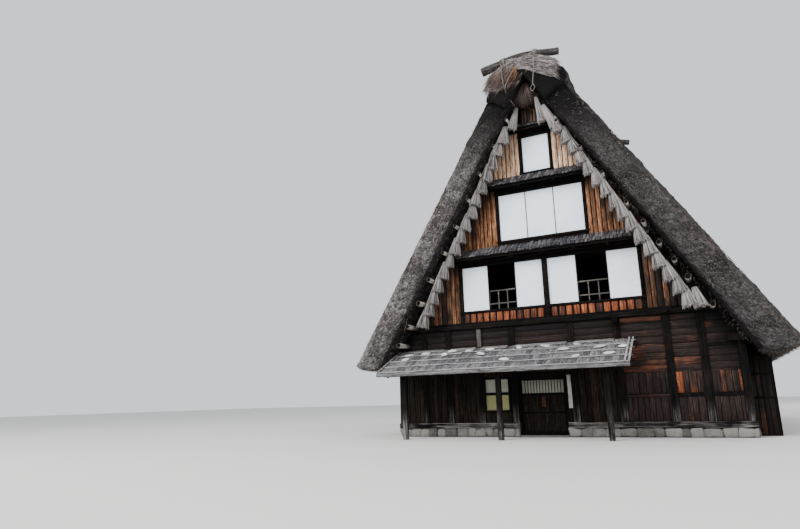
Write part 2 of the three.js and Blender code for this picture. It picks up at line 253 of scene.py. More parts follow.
# Timber looks: colours of the hollows, the face and the raised grain, then of the less weathered patches
# (fresh, and sheen on their raised grain), how much of these shows, and how far single boards differ
woods = {
    # near-black planks under the lean-to: painted shade, partly smoke
    "sootAndShade": {"colours": [(0.0016, 0.0013, 0.0011), (0.013, 0.0095, 0.0075), (0.048, 0.035, 0.027)],
             "fresh": (0.034, 0.019, 0.013), "sheen": (0.06, 0.038, 0.028), "amount": 0.6, "vary": 0.4},
    "smoked": {"colours": [(0.0008, 0.0008, 0.0008), (0.0036, 0.0031, 0.0030), (0.013, 0.011, 0.010)],
               "fresh": (0.018, 0.010, 0.007), "sheen": (0.034, 0.022, 0.017), "amount": 0.5, "vary": 0.3},
    "brown": {"colours": [(0.002, 0.0015, 0.0015), (0.014, 0.008, 0.006), (0.05, 0.029, 0.021)],
              "fresh": (0.27, 0.102, 0.042), "sheen": (0.76, 0.45, 0.25), "amount": 1.0, "vary": 0.5},
    "tan": {"colours": [(0.002, 0.0015, 0.0015), (0.03, 0.018, 0.013), (0.12, 0.075, 0.055)],
            "fresh": (0.88, 0.54, 0.34), "sheen": (1.0, 0.85, 0.68), "amount": 1.0, "vary": 0.15},
    "rust": {"colours": [(0.002, 0.0015, 0.0015), (0.018, 0.009, 0.007), (0.080, 0.045, 0.036)],
             "fresh": (0.25, 0.062, 0.022), "sheen": (0.56, 0.24, 0.10), "amount": 1.0, "vary": 0.4},
    "silver": {"colours": [(0.013, 0.013, 0.014), (0.19, 0.186, 0.191), (0.57, 0.562, 0.567)],
               "fresh": (0.18, 0.165, 0.15), "sheen": (0.38, 0.355, 0.33), "amount": 0.4, "vary": 0.75},
    "batten": {"colours": [(0.06, 0.058, 0.06), (0.35, 0.345, 0.355), (0.64, 0.63, 0.64)],
               "fresh": (0.30, 0.27, 0.24), "sheen": (0.50, 0.47, 0.43), "amount": 0.3, "vary": 0.3},
    "bark": {"colours": [(0.001, 0.001, 0.001), (0.024, 0.021, 0.020), (0.135, 0.127, 0.122)],
             "fresh": (0.028, 0.022, 0.019), "sheen": (0.10, 0.088, 0.078), "amount": 0.4, "vary": 0.0},
    "shingle": {"colours": [(0.004, 0.004, 0.0045), (0.075, 0.073, 0.080), (0.30, 0.295, 0.315)],
                "fresh": (0.11, 0.085, 0.07), "sheen": (0.30, 0.25, 0.22), "amount": 0.35, "vary": 0.85},
    "rope": {"colours": [(0.03, 0.026, 0.023), (0.14, 0.125, 0.115), (0.34, 0.315, 0.29)],
             "fresh": (0.16, 0.13, 0.105), "sheen": (0.34, 0.29, 0.25), "amount": 0.4, "vary": 0.0},
    "pale": {"colours": [(0.06, 0.05, 0.043), (0.22, 0.195, 0.17), (0.42, 0.39, 0.35)],
             "fresh": (0.30, 0.235, 0.175), "sheen": (0.46, 0.38, 0.31), "amount": 0.4, "vary": 0.6},
    "pole": {"colours": [(0.0015, 0.0013, 0.0012), (0.30, 0.27, 0.245), (0.62, 0.58, 0.54)],
             "fresh": (0.34, 0.28, 0.22), "sheen": (0.60, 0.53, 0.46), "amount": 0.3, "vary": 1.0},
    "rail": {"colours": [(0.008, 0.007, 0.006), (0.08, 0.072, 0.066), (0.24, 0.22, 0.205)],
             "fresh": (0.07, 0.055, 0.045), "sheen": (0.18, 0.15, 0.13), "amount": 0.4, "vary": 0.0},
    "slat": {"colours": [(0.010, 0.007, 0.006), (0.11, 0.08, 0.063), (0.30, 0.24, 0.20)],
             "fresh": (0.24, 0.135, 0.085), "sheen": (0.44, 0.31, 0.22), "amount": 0.8, "vary": 0.6},
    "limed": {"colours": [(0.16, 0.16, 0.15), (0.44, 0.435, 0.41), (0.66, 0.655, 0.63)],
              "fresh": (0.42, 0.40, 0.36), "sheen": (0.62, 0.60, 0.56), "amount": 0.3, "vary": 0.1},
}
# painted shade and soot: the boards are darkened just below these levels
shadeAndSootLevels = [beamBottom, *pentLevels]  # beam and pents keep the rain and light off the boards below


def grainScale(grain, across, along):
    # the scale of a pattern that is fine across the grain and long along it
    scale = [across] * 3
    scale["xyz".index(grain)] = along
    return scale


# the last argument sets how strongly painted shade and soot darken the boards near the thatch, the pents and
# the beam
def woodFinish(name, look, grain, tinted=True, pale=None, shadeAndSootStrength=0.0):
    wood = woods[look]
    finish = Finish(name, 0.8, 0.08 if look in ("sootAndShade", "smoked") else 0.25)
    place = finish.place()
    tint = finish.attribute("tint") if tinted else 0.5
    own = finish.shifted(place, tint) if tinted else place
    height = finish.part(place, "z")
    lines = finish.streaks(own, grainScale(grain, 22.0, 1.4), 8.0, 0.62, 0.5)
    fibres = finish.streaks(own, grainScale(grain, 88.0, 5.6), 3.0, 0.6)
    checks = finish.streaks(own, grainScale(grain, 13.2, 0.84), 2.0, 0.5, 0.8)
    patches = finish.noise(own, 1.3, 3.0, 0.55)
    knotPlace = finish.stretched(own, grainScale(grain, 8.0, 3.0))
    knots = finish.node("TexVoronoi", {}, {"Vector": knotPlace, "Scale": 1.0}, output="Distance")
    grainy = lines * 0.6 + fibres * 0.4
    hollow, face, raised = wood["colours"]
    weathered = finish.ramp(grainy, [(0.34, hollow), (0.5, face), (0.66, raised)])
    dim = [value * 0.2 for value in wood["fresh"]]
    fresh = finish.ramp(grainy, [(0.37, dim), (0.51, wood["fresh"]), (0.66, wood["sheen"])])
    lit = (patches * 0.8 + tint * 0.85 - 0.42).step(0.25, 0.75) if tinted else patches.step(0.5, 0.75)
    colour = finish.mix(lit * wood["amount"], weathered, fresh)
    crack = (checks - 0.5).maths("ABSOLUTE", checks - 0.5).step(0.0, 0.035)
    colour = finish.mix((crack * 0.6 + 0.4) * (knots.step(0.08, 0.2) * 0.8 + 0.2), hollow, colour)
    if tinted:
        colour = finish.mix(tint * wood["vary"] + (1 - wood["vary"]), hollow, colour)
    if shadeAndSootStrength:
        # painted shade, with some smoke and damp: the boards close under the thatch, the pents and the beam
        # are darkened where shade falls
        across = finish.part(place, "x")
        reach = soffitAt(0) - height * (1 / roofRise)
        away = reach - across.maths("ABSOLUTE", across)
        clearOfSootAndShade = (away + patches * 0.6 - 0.3).step(0.3, 1.1)
        for level in shadeAndSootLevels:
            drop = level - height
            fading = 1 - (drop + patches * 0.5 - 0.25).step(0.12, 0.65)
            clearOfSootAndShade = clearOfSootAndShade * (1 - drop.step(-0.02, 0.0) * fading * 0.9)
        colour = finish.mix(clearOfSootAndShade * shadeAndSootStrength + (1 - shadeAndSootStrength), hollow, colour)
    if pale:
        # rain and sun bleach the timber below these levels
        low, high = pale
        bleach = (1 - height.step(low, high)) * (patches * 0.6 + lines * 0.7).step(0.5, 0.85)
        bleached = finish.ramp(grainy, [(0.35, (0.05, 0.045, 0.04)), (0.65, (0.32, 0.30, 0.28))])
        colour = finish.mix(bleach * 0.85, colour, bleached)
    return finish.use(colour, grainy * 0.7 + crack * 0.5, 0.006, 0.95 - lines * 0.3)


# Single straws, from the darkest to the palest
strawLooks = {
    "looseStraw": [(0.1, (0.010, 0.009, 0.009)), (0.6, (0.06, 0.055, 0.053)), (0.9, (0.30, 0.25, 0.21))],
    "greyStraw": [(0.08, (0.022, 0.019, 0.018)), (0.36, (0.225, 0.208, 0.206)), (0.75, (0.68, 0.635, 0.615))],
    "foldStraw": [(0.1, (0.02, 0.017, 0.016)), (0.45, (0.18, 0.157, 0.15)), (0.9, (0.68, 0.62, 0.60))],
    "brownStraw": [(0.1, (0.02, 0.013, 0.011)), (0.5, (0.14, 0.090, 0.075)), (0.9, (0.44, 0.32, 0.275))],
    "oldStraw": [(0.1, (0.02, 0.014, 0.012)), (0.5, (0.17, 0.122, 0.105)), (0.9, (0.52, 0.42, 0.37))],
    "goldStraw": [(0.1, (0.03, 0.012, 0.006)), (0.5, (0.24, 0.105, 0.04)), (0.9, (0.58, 0.34, 0.16))],
}


def strawFinish(name):
    # single straws, each with its own tint
    finish = Finish(name, 0.9, 0.2)
    tint = finish.attribute("tint")
    streak = finish.streaks(finish.shifted(finish.place(), tint), (40.0, 40.0, 3.0), 4.0, 0.6)
    colour = finish.ramp(tint * 0.75 + streak * 0.4 - 0.08, strawLooks[name])
    return finish.use(colour, streak, 0.004, 0.92 - streak * 0.2)


def strawSheetFinish(name, colours):
    # long straws that run along the second axis of "flow"
    finish = Finish(name, 0.92, 0.15)
    flow = finish.attribute("flow", "Vector")
    strands = finish.streaks(flow, (70.0, 2.5, 70.0), 4.0, 0.65, 0.1)
    bunches = finish.streaks(flow, (20.0, 1.0, 20.0), 3.0, 0.6, 0.15)
    mottle = strands * 0.5 + bunches * 0.5
    dark, middle, light = colours
    colour = finish.ramp(mottle, [(0.41, dark), (0.51, middle), (0.62, light)])
    return finish.use(colour, mottle, 0.04)


thatchLook = {
    "hollow": (0.005, 0.0046, 0.0047),
    "face": (0.10, 0.092, 0.094),
    "pale": (0.36, 0.33, 0.333),
    "rosy": (0.48, 0.385, 0.37),
    "speck": (0.42, 0.35, 0.30),
    "dampAndShade": (0.022, 0.021, 0.021),
    "depth": 0.05,
}


def thatchFinish(name):
    # "flow" runs along the ridge, down the slope and through the thickness
    look = thatchLook
    finish = Finish(name, 0.97, 0.05)
    flow = finish.attribute("flow", "Vector")
    place = finish.place()
    height = finish.part(place, "z")
    through = finish.part(flow, "z")
    facing = finish.part(finish.node("NewGeometry", output="Normal"), "y")
    cutFace = facing.maths("ABSOLUTE", facing).step(0.35, 0.75)
    reeds = finish.streaks(flow, (55.0, 5.0, 55.0), 5.0, 0.7, 0.4)
    ends = finish.streaks(flow, (17.0, 15.0, 19.0), 5.0, 0.8, 0.5)
    grain = reeds + (ends - reeds) * cutFace
    clumps = finish.streaks(flow, (8.0, 5.0, 10.0), 5.0, 0.65, 0.6)
    courses = finish.streaks(flow, (0.6, 3.0, 3.0), 3.0, 0.5, 0.3)
    patches = finish.noise(flow, 0.45, 4.0, 0.6)
    specks = finish.streaks(flow, (60.0, 45.0, 60.0), 1.0, 0.5)
    mottle = grain * 0.75 + clumps * 0.25
    colour = finish.ramp(mottle, [(0.40, look["hollow"]), (0.51, look["face"]), (0.64, look["pale"])])
    uneven = through + clumps * 0.5 - 0.25
    rosy = uneven.step(0.45, 0.75) * cutFace * (1 - height.step(7.0, 9.5))
    blush = finish.ramp(mottle, [(0.42, look["face"]), (0.60, look["rosy"])])
    colour = finish.mix(rosy * 0.65, colour, blush)
    colour = finish.mix(specks.step(0.62, 0.72) * 0.8, colour, look["speck"])
    colour = finish.mix(patches.step(0.45, 0.7) * 0.4, colour, look["dampAndShade"])
    # painted shade darkens the right slope towards the damp colour; the left one stays lighter
    shaded = finish.part(place, "x").step(-1.5, 1.5)
    colour = finish.mix(shaded * 0.6, colour, look["dampAndShade"])
    # painted shade: black underneath, in the hollow by the bundles and up at the ridge under the cap, where
    # soot from the smoke adds to it
    edge = (1 - uneven.step(-0.08, 0.16)) * cutFace * (shaded * 0.3 + 0.7)
    sootAndShade = edge.maths("MAXIMUM", edge, (1 - through.step(0.0, 0.05)) * (shaded * 0.1 + 0.78))
    # painted shade, partly soot, on the cut faces up at the ridge under the cap
    ridgeShadeAndSoot = (height + clumps * 2.0 - 1.0).step(8.5, 10.9) * (cutFace * 0.98)
    colour = finish.mix(sootAndShade.maths("MAXIMUM", sootAndShade, ridgeShadeAndSoot) * 0.96, colour, look["hollow"])
    colour = finish.mix(courses.step(0.35, 0.6) * 0.4 + 0.6, look["hollow"], colour)
    return finish.use(colour, mottle * 0.9 + specks * 0.4, look["depth"])


def paperFinish(name, low, high, aged=None):
    # stretched paper over bars: painted shadows of the bars behind it, painted shade along a crease or two,
    # and a slight stain
    finish = Finish(name, 0.7, 0.3)
    place = finish.place()
    height = finish.part(place, "z")
    bars = (height * 11.0).maths("PINGPONG", height * 11.0, 0.5)
    barShadows = 1 - bars.step(0.0, 0.06)
    creases = finish.streaks(place, (1.2, 1.2, 5.0), 4.0, 0.5, 0.6)
    stains = finish.noise(place, 1.1, 4.0, 0.6)
    fibre = finish.noise(place, 160.0, 2.0, 0.6)
    colour = finish.ramp(stains * 0.6 + fibre * 0.4, [(0.3, low), (0.6, high)])
    if aged:
        # the panes below this level have yellowed
        level, yellow = aged
        colour = finish.mix((1 - height.step(level - 0.01, level + 0.01)) * 0.75, colour, yellow)
    shade = [value * 0.7 for value in low]
    colour = finish.mix(barShadows * 0.10 + creases.step(0.62, 0.7) * 0.16, colour, shade)
    return finish.use(colour, creases * 0.7 + fibre * 0.1 - barShadows * 0.2, 0.012)


def stoneFinish(name, colours):
    finish = Finish(name, 0.9, 0.3)
    tint = finish.attribute("tint")
    own = finish.shifted(finish.place(), tint)
    grit = finish.noise(own, 45.0, 6.0, 0.7)
    veins = finish.noise(own, 5.0, 5.0, 0.6, 1.2)
    moss = finish.noise(own, 2.2, 4.0, 0.6)
    low, high = colours
    colour = finish.ramp(grit * 0.35 + veins * 0.35 + tint * 0.3, [(0.3, low), (0.65, high)])
    colour = finish.mix(moss.step(0.55, 0.75) * 0.5, colour, (0.10, 0.105, 0.07))
    return finish.use(colour, grit * 0.4 + veins * 0.6, 0.02)


smokedX = woodFinish("smokedTimberAlongX", "smoked", "x", tinted=False)
smokedY = woodFinish("smokedTimberAlongY", "smoked", "y")
smokedPosts = woodFinish("smokedPosts", "smoked", "z", tinted=False, pale=(0.1, 1.1))
smokedUp = woodFinish("smokedTimberUpright", "smoked", "z")
smokedBars = woodFinish("smokedBars", "smoked", "x")
smokedWall = woodFinish("smokedWall", "smoked", "z", tinted=False)
# painted shade, partly smoke: near-black planks for the walls and the door under the lean-to, where its
# shadow falls
sootShadeUp = woodFinish("shadedSootPlanksUpright", "sootAndShade", "z")
sootShadeAcross = woodFinish("shadedSootPlanksAcross", "sootAndShade", "x")
weatheredSill = woodFinish("weatheredSill", "smoked", "x", tinted=False, pale=(0.5, 0.9))
# painted shade and soot darken these boards near the thatch, the pents and the beam
rustAcross = woodFinish("rustBoardsAcross", "rust", "x", shadeAndSootStrength=0.9)
rustUp = woodFinish("rustBoardsUpright", "rust", "z", shadeAndSootStrength=0.9)
brownUp = woodFinish("brownBoardsUpright", "brown", "z", shadeAndSootStrength=0.8)
brownDeep = woodFinish("brownBoardsDeep", "brown", "y", tinted=False)
silverDown = woodFinish("silverBoardsDownSlope", "silver", "y")
silverAcross = woodFinish("silverBoardsAcross", "silver", "x")
shingleDown = woodFinish("shinglesDownSlope", "shingle", "y")
tanUp = woodFinish("tanBoardsUpright", "tan", "z", shadeAndSootStrength=0.35)
limedUp = woodFinish("limedBoard", "limed", "z")
windowRails = woodFinish("windowRails", "rail", "x", tinted=False)
paleBattens = woodFinish("paleBattens", "batten", "x")
peakSlats = woodFinish("peakSlats", "slat", "z")
bleachedFace = woodFinish("bleachedFace", "rail", "z")
cutEnds = woodFinish("cutLogEnds", "pale", "y")
poleEnds = woodFinish("poleEnds", "pole", "y")
ridgeBark = woodFinish("ridgeLogBark", "bark", "x", tinted=False)
windowPaper = paperFinish("windowPaper", (0.74, 0.84, 0.96), (0.88, 0.94, 1.0))
yellowed = (1.37, (0.26, 0.245, 0.075))
# painted shade: a dark, greyish paper for the panes that lie in shade under the lean-to
shadedDimPaper = paperFinish("shadedDimPaper", (0.19, 0.185, 0.135), (0.32, 0.32, 0.27), aged=yellowed)
fieldStone = stoneFinish("fieldStone", [(0.045, 0.043, 0.040), (0.22, 0.21, 0.195)])
roofStone = stoneFinish("roofStone", [(0.34, 0.33, 0.31), (0.80, 0.78, 0.75)])
oldThatch = thatchFinish("oldThatch")
padStraw = strawSheetFinish("padStraw", [(0.014, 0.012, 0.012), (0.19, 0.17, 0.167), (0.60, 0.555, 0.54)])
looseStraw = strawFinish("looseStraw")
greyStraw = strawFinish("greyStraw")
foldStraw = strawFinish("foldStraw")
brownStraw = strawFinish("brownStraw")
oldStraw = strawFinish("oldStraw")
goldStraw = strawFinish("goldStraw")
ropeFibre = woodFinish("ropeFibre", "rope", "z", tinted=False)
print("finishes made")


def newPiece(mesh, material, body="house", smooth=False):
    made = bpy.data.objects.new(mesh.name, mesh)
    bpy.context.scene.collection.objects.link(made)
    mesh.materials.append(material)
    if smooth:
        mesh.shade_smooth()
    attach(made, body)
    return made


def addTo(whole, bm):
    # joins one bmesh to another
    holder = meshOf("holder", bm)
    whole.from_mesh(holder)
    bpy.data.meshes.remove(holder)


def tintPoints(mesh, tints):
    layer = mesh.attributes.new("tint", "FLOAT", "POINT")
    layer.data.foreach_set("value", np.asarray(tints, dtype=np.float32))


def shapeOf(bm):
    # a bmesh as plain arrays: its points, its faces' corners and where each face starts
    bm.verts.index_update()
    points = np.array([corner.co[:] for corner in bm.verts])
    corners, starts = [], []
    for face in bm.faces:
        starts.append(len(corners))
        corners.extend(corner.index for corner in face.verts)
    bm.free()
    return points, np.array(corners), np.array(starts)


def joinCopies(name, shape, placed, tints):
    # one mesh of many copies of a small shape, each copy or each of its points with a tint
    _, corners, starts = shape
    copies, count = placed.shape[:2]
    step = np.arange(copies)[:, None]
    mesh = bpy.data.meshes.new(name)
    mesh.vertices.add(copies * count)
    mesh.vertices.foreach_set("co", placed.astype(np.float32).ravel())
    mesh.loops.add(copies * len(corners))
    mesh.loops.foreach_set("vertex_index", (corners + step * count).astype(np.int32).ravel())
    mesh.polygons.add(copies * len(starts))
    mesh.polygons.foreach_set("loop_start", (starts + step * len(corners)).astype(np.int32).ravel())
    mesh.update(calc_edges=True)
    own = np.reshape(tints, (copies, -1))
    tintPoints(mesh, np.broadcast_to(own, (copies, count)).ravel())
    return mesh


boardBevel = 0.2  # of a board's shape with a half size of 1, set to the real bevel when the board is made


def bevelled(bm, offset, segments):
    bmesh.ops.bevel(bm, geom=bm.edges[:], offset=offset, segments=segments, profile=0.5, affect="EDGES",
                    material=-1)


def boardShape():
    bm = bmesh.new()
    bmesh.ops.create_cube(bm, size=2)
    bevelled(bm, boardBevel, 1)
    return shapeOf(bm)


def poleShape(sides, tip=0.92):
    bm = bmesh.new()
    bmesh.ops.create_cone(bm, cap_ends=True, segments=sides, radius1=1, radius2=tip, depth=1)
    bmesh.ops.translate(bm, verts=bm.verts, vec=(0, 0, 0.5))
    return shapeOf(bm)


board = boardShape()
straw = poleShape(3, 0.0)
blade = poleShape(3, 0.8)
stick = poleShape(8)


class Timbers:
    # boards and bars of one finish, gathered one by one and then joined
    def __init__(self, seed):
        self.random = np.random.default_rng(seed)
        self.rows = []

    def add(self, low, high, turn=(0, 0, 0), tint=None, loose=0.0):
        low, high = np.minimum(low, high), np.maximum(low, high)
        turned = np.radians(turn) + self.random.normal(0, 1, 3) * loose
        own = self.random.random() if tint is None else tint
        self.rows.append(((low + high) / 2, (high - low) / 2, turned, own))

    def make(self, name, material, slot, bevel=0.004, body="house", cuts=()):
        points = board[0]
        inset = (1 - np.abs(points)) / boardBevel * bevel
        placed = []
        for centre, half, turned, _ in self.rows:
            turn = np.array(Euler(turned).to_matrix())
            placed.append((np.sign(points) * (half - inset)) @ turn.T + centre)
        mesh = joinCopies(name, board, np.array(placed), [row[3] for row in self.rows])
        if cuts:
            trim(mesh, cuts)
        return newPiece(mesh, material, body)


def trim(mesh, cuts):
    # cuts away what lies past each plane and closes the cut ends
    bm = bmesh.new()
    bm.from_mesh(mesh)
    for point, normal in cuts:
        geometry = bm.verts[:] + bm.edges[:] + bm.faces[:]
        bmesh.ops.bisect_plane(bm, geom=geometry, dist=1e-5, plane_co=point, plane_no=normal,
                               clear_outer=True)
        bmesh.ops.holes_fill(bm, edges=[edge for edge in bm.edges if edge.is_boundary])
    bm.to_mesh(mesh)
    bm.free()


def soffitPlanes(inset):
    # the two sloping planes under the thatch, so far inside them
    rise, run = math.sin(slopeAngle), math.cos(slopeAngle)
    half = soffitHalf - inset / rise
    return [((way * half, 0, soffitLevel), (way * rise, 0, run)) for way in (-1, 1)]


def unitWays(ways):
    return ways / np.maximum(np.linalg.norm(ways, axis=1, keepdims=True), 1e-6)


def laidAlong(shape, starts, ways, lengths, widths):
    # copies of a shape that runs up Z, laid from each start along its own way
    ways = unitWays(ways)
    aside = unitWays(np.cross((0.31, 0.17, 0.93), ways))
    over = np.cross(ways, aside)
    points = shape[0]
    return (starts[:, None] + points[None, :, 2:] * (ways * lengths[:, None])[:, None]
            + points[None, :, :1] * (aside * widths[:, None])[:, None]
            + points[None, :, 1:2] * (over * widths[:, None])[:, None])


def turnedBack(places):
    # the same places, turned round to the back gable
    return places * (-1, -1, 1) + (0, 2 * middleY, 0)


def halfToBack(random, starts, ways):
    # turns a random half of the straws round to the back gable
    back = random.random(len(starts)) < 0.5
    starts[back] = turnedBack(starts[back])
    ways[back] = ways[back] * (-1, -1, 1)


def placesAt(flat, y):
    # places given across and up, each set at its own distance into the house
    return np.stack([flat[:, 0], y, flat[:, 1]], 1)


def eased(share, even):
    # draws evenly spread lines towards both ends
    return even * share + (1 - even) * (0.5 - 0.5 * np.cos(np.pi * share))


def roughen(mesh, layers):
    # pushes each point in or out along its normal by stretched noise
    count = len(mesh.vertices)
    places, normals = np.empty(count * 3), np.empty(count * 3)
    mesh.vertices.foreach_get("co", places)
    mesh.vertices.foreach_get("normal", normals)
    places, normals = places.reshape(-1, 3), normals.reshape(-1, 3)
    push = np.zeros(count)
    for stretch, strength in layers:
        push += strength * np.array([noise.noise(Vector(place)) for place in places * stretch])
    mesh.vertices.foreach_set("co", (places + normals * push[:, None]).ravel())
    mesh.update()


def gridBlock(cuts):
    # a unit cube cut into strips along each axis, and its points' shares of each axis
    bm = bmesh.new()
    bmesh.ops.create_cube(bm, size=1)
    for axis, count in enumerate(cuts):
        lines = [edge for edge in bm.edges if abs((edge.verts[1].co - edge.verts[0].co)[axis]) > 0.5]
        bmesh.ops.subdivide_edges(bm, edges=lines, cuts=count, use_grid_fill=True)
    return bm, np.array([corner.co[:] for corner in bm.verts]) + 0.5


def placedMesh(name, bm, places):
    # a mesh of the bmesh with its points moved to the given places, its faces outwards
    for corner, place in zip(bm.verts, places):
        corner.co = place
    bm.normal_update()
    bmesh.ops.recalc_face_normals(bm, faces=bm.faces[:])
    return meshOf(name, bm)


def smoothLine(points, count):
    # evenly shared places on a smooth curve through the points
    points = np.asarray(points, dtype=float)
    ends = np.concatenate([[2 * points[0] - points[1]], points, [2 * points[-1] - points[-2]]])
    share = np.linspace(0, len(points) - 1, count)
    leg = np.minimum(share.astype(int), len(points) - 2)
    t = (share - leg)[:, None]
    before, start, end, after = ends[leg], ends[leg + 1], ends[leg + 2], ends[leg + 3]
    bend = 2 * before - 5 * start + 4 * end - after
    twist = 3 * start - before - 3 * end + after
    return 0.5 * (2 * start + (end - before) * t + bend * t ** 2 + twist * t ** 3)


def tubeAlong(name, points, sides, cuts, radiusAt):
    # a round bar bent along a smooth curve; radiusAt gives its radius by angle and distance
    bm = bmesh.new()
    bmesh.ops.create_cone(bm, cap_ends=True, segments=sides, radius1=1, radius2=1, depth=1)
    lines = [edge for edge in bm.edges if abs(edge.verts[0].co.z - edge.verts[1].co.z) > 0.5]
    bmesh.ops.subdivide_edges(bm, edges=lines, cuts=cuts)
    unit = np.array([corner.co[:] for corner in bm.verts])
    angle, share = np.arctan2(unit[:, 1], unit[:, 0]), unit[:, 2] + 0.5
    line = smoothLine(points, 400)
    legs = np.concatenate([[0], np.cumsum(np.linalg.norm(np.diff(line, axis=0), axis=1))])
    distance = share * legs[-1]
    centre = np.stack([np.interp(distance, legs, line[:, axis]) for axis in range(3)], 1)
    ahead = np.gradient(line, axis=0)
    way = unitWays(np.stack([np.interp(distance, legs, ahead[:, axis]) for axis in range(3)], 1))
    aside = unitWays(np.cross(way, (0, 1, 0)))
    over = np.cross(way, aside)
    radius = radiusAt(angle, distance)[:, None]
    places = centre + radius * (np.cos(angle)[:, None] * aside + np.sin(angle)[:, None] * over)
    return placedMesh(name, bm, places)


# Straw ropes that run down from the ridge logs, over the fold of straw: across, out from the wall and up
ropeValues = {
    "thick": 0.030,
    "twist": 0.11,
    "runs": {
        "left": [(-0.68, 0.965, 12.66), (-0.68, 1.14, 12.60), (-0.67, 1.2, 12.45), (-0.65, 1.22, 12.05),
                 (-0.62, 1.18, 11.70), (-0.55, 0.98, 11.38), (-0.42, 0.68, 11.14)],
        "second": [(-0.24, 1.18, 12.20), (-0.30, 1.23, 12.12), (-0.42, 1.24, 11.93), (-0.53, 1.22, 11.76),
                   (-0.60, 1.18, 11.62)],
        "right": [(0.45, 0.965, 12.68), (0.46, 1.14, 12.64), (0.47, 1.2, 12.50), (0.45, 1.22, 12.10),
                  (0.40, 1.22, 11.72), (0.37, 1.21, 11.53), (0.29, 1.2, 11.38), (0.34, 1.2, 11.27),
                  (0.43, 1.21, 11.37), (0.40, 1.22, 11.50)],
    },
}


def ridgeRopes(side):
    for kind, run in ropeValues["runs"].items():
        points = np.array([(x, frontWall - out, z) for x, out, z in run])
        if side == "back":
            points = turnedBack(points)
        line = smoothLine(points, 30)
        length = float(np.linalg.norm(np.diff(line, axis=0), axis=1).sum())
        lay = 2 * math.pi / ropeValues["twist"]

        def radiusAt(angle, distance):
            return ropeValues["thick"] / 2 * (0.82 + 0.18 * np.abs(np.cos(1.5 * angle + distance * lay / 2)))

        mesh = tubeAlong(f"{side}_{kind}_rope", points, 12, int(length / 0.012), radiusAt)
        made = newPiece(mesh, ropeFibre, smooth=True)


ridgeRopes("front")
ridgeRopes("back")
print("ropes hung")


def flowMesh(name, bm, places, flow):
    # a straw surface, with "flow" to lay its pattern along
    mesh = placedMesh(name, bm, places)
    layer = mesh.attributes.new("flow", "FLOAT_VECTOR", "POINT")
    layer.data.foreach_set("vector", flow.astype(np.float32).ravel())
    return mesh


# The two thatch slabs: a grid wrapped on the slab's faces, its verges rolled over and its reeds left ragged
thatchValues = {
    "cuts": (230, 90, 24),
    "front": frontWall - verge,
    "back": backWall + verge,
    "eave": [(5.788, 2.40), (6.17, 2.31), (6.58, 2.36), (6.81, 2.50), (6.80, 2.66)],
    "crown": [(0.661, 11.037), (1.441, 11.50)],
    "long": 10.4,
    "thick": 0.906,
    "roll": 0.42,
    "innerRoll": 0.24,
    "lumps": [((1.1, 1.1, 1.1), 0.05), ((4.0, 4.0, 4.0), 0.030), ((13.0, 13.0, 11.0), 0.018)],
    "vergeStraws": 15000,
    "slopeStraws": 12000,
    "eaveStraws": 5000,
}


def slabPlaces(slope, along, depth):
    # slope from 0 at the eave to 1 at the crown, along from front to back, depth from 0 inside to 1 outside
    eave = np.array(thatchValues["eave"])
    crown = np.array(thatchValues["crown"])
    stops = np.linspace(0, 1, len(eave))
    low = np.stack([np.interp(depth, stops, eave[:, axis]) for axis in (0, 1)], 1)
    high = crown[0] + (crown[1] - crown[0]) * depth[:, None]
    flat = low + (high - low) * slope[:, None]
    front, back = thatchValues["front"], thatchValues["back"]
    y = front + (back - front) * along
    inside = np.minimum(y - front, back - y)
    normal = np.array([math.sin(slopeAngle), math.cos(slopeAngle)])
    for key, share, way in (("roll", 1 - depth, -1), ("innerRoll", depth, 1)):
        # rolls one edge of both verges over
        roll = thatchValues[key]
        across, over = roll - inside, roll - share * thatchValues["thick"]
        corner = (across > 0) & (over > 0)
        kept = np.maximum(across, over) / np.maximum(np.hypot(across, over), 1e-9)
        inside = np.where(corner, roll - across * kept, inside)
        flat = flat + normal * (np.where(corner, over * (1 - kept), 0.0) * way)[:, None]
    return placesAt(flat, np.where(y < middleY, front + inside, back - inside))


def thatchSlab(side, node):
    bm, unit = gridBlock(thatchValues["cuts"])
    slope, along, depth = unit[:, 0], unit[:, 1], unit[:, 2]
    places = slabPlaces(slope, eased(along, 0.35), depth)
    flow = np.stack([places[:, 1], slope * thatchValues["long"], depth * thatchValues["thick"]], 1)
    if side < 0:
        places = turnedBack(places)
    mesh = flowMesh(f"{node}_reeds", bm, places, flow)
    roughen(mesh, thatchValues["lumps"])
    made = newPiece(mesh, oldThatch, smooth=True)
    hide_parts(node)


def downSlope(lean):
    # ways down the right slope, each with its own lean along the ridge
    count = len(lean)
    return np.stack([np.full(count, math.cos(slopeAngle)), lean, np.full(count, -math.sin(slopeAngle))], 1)


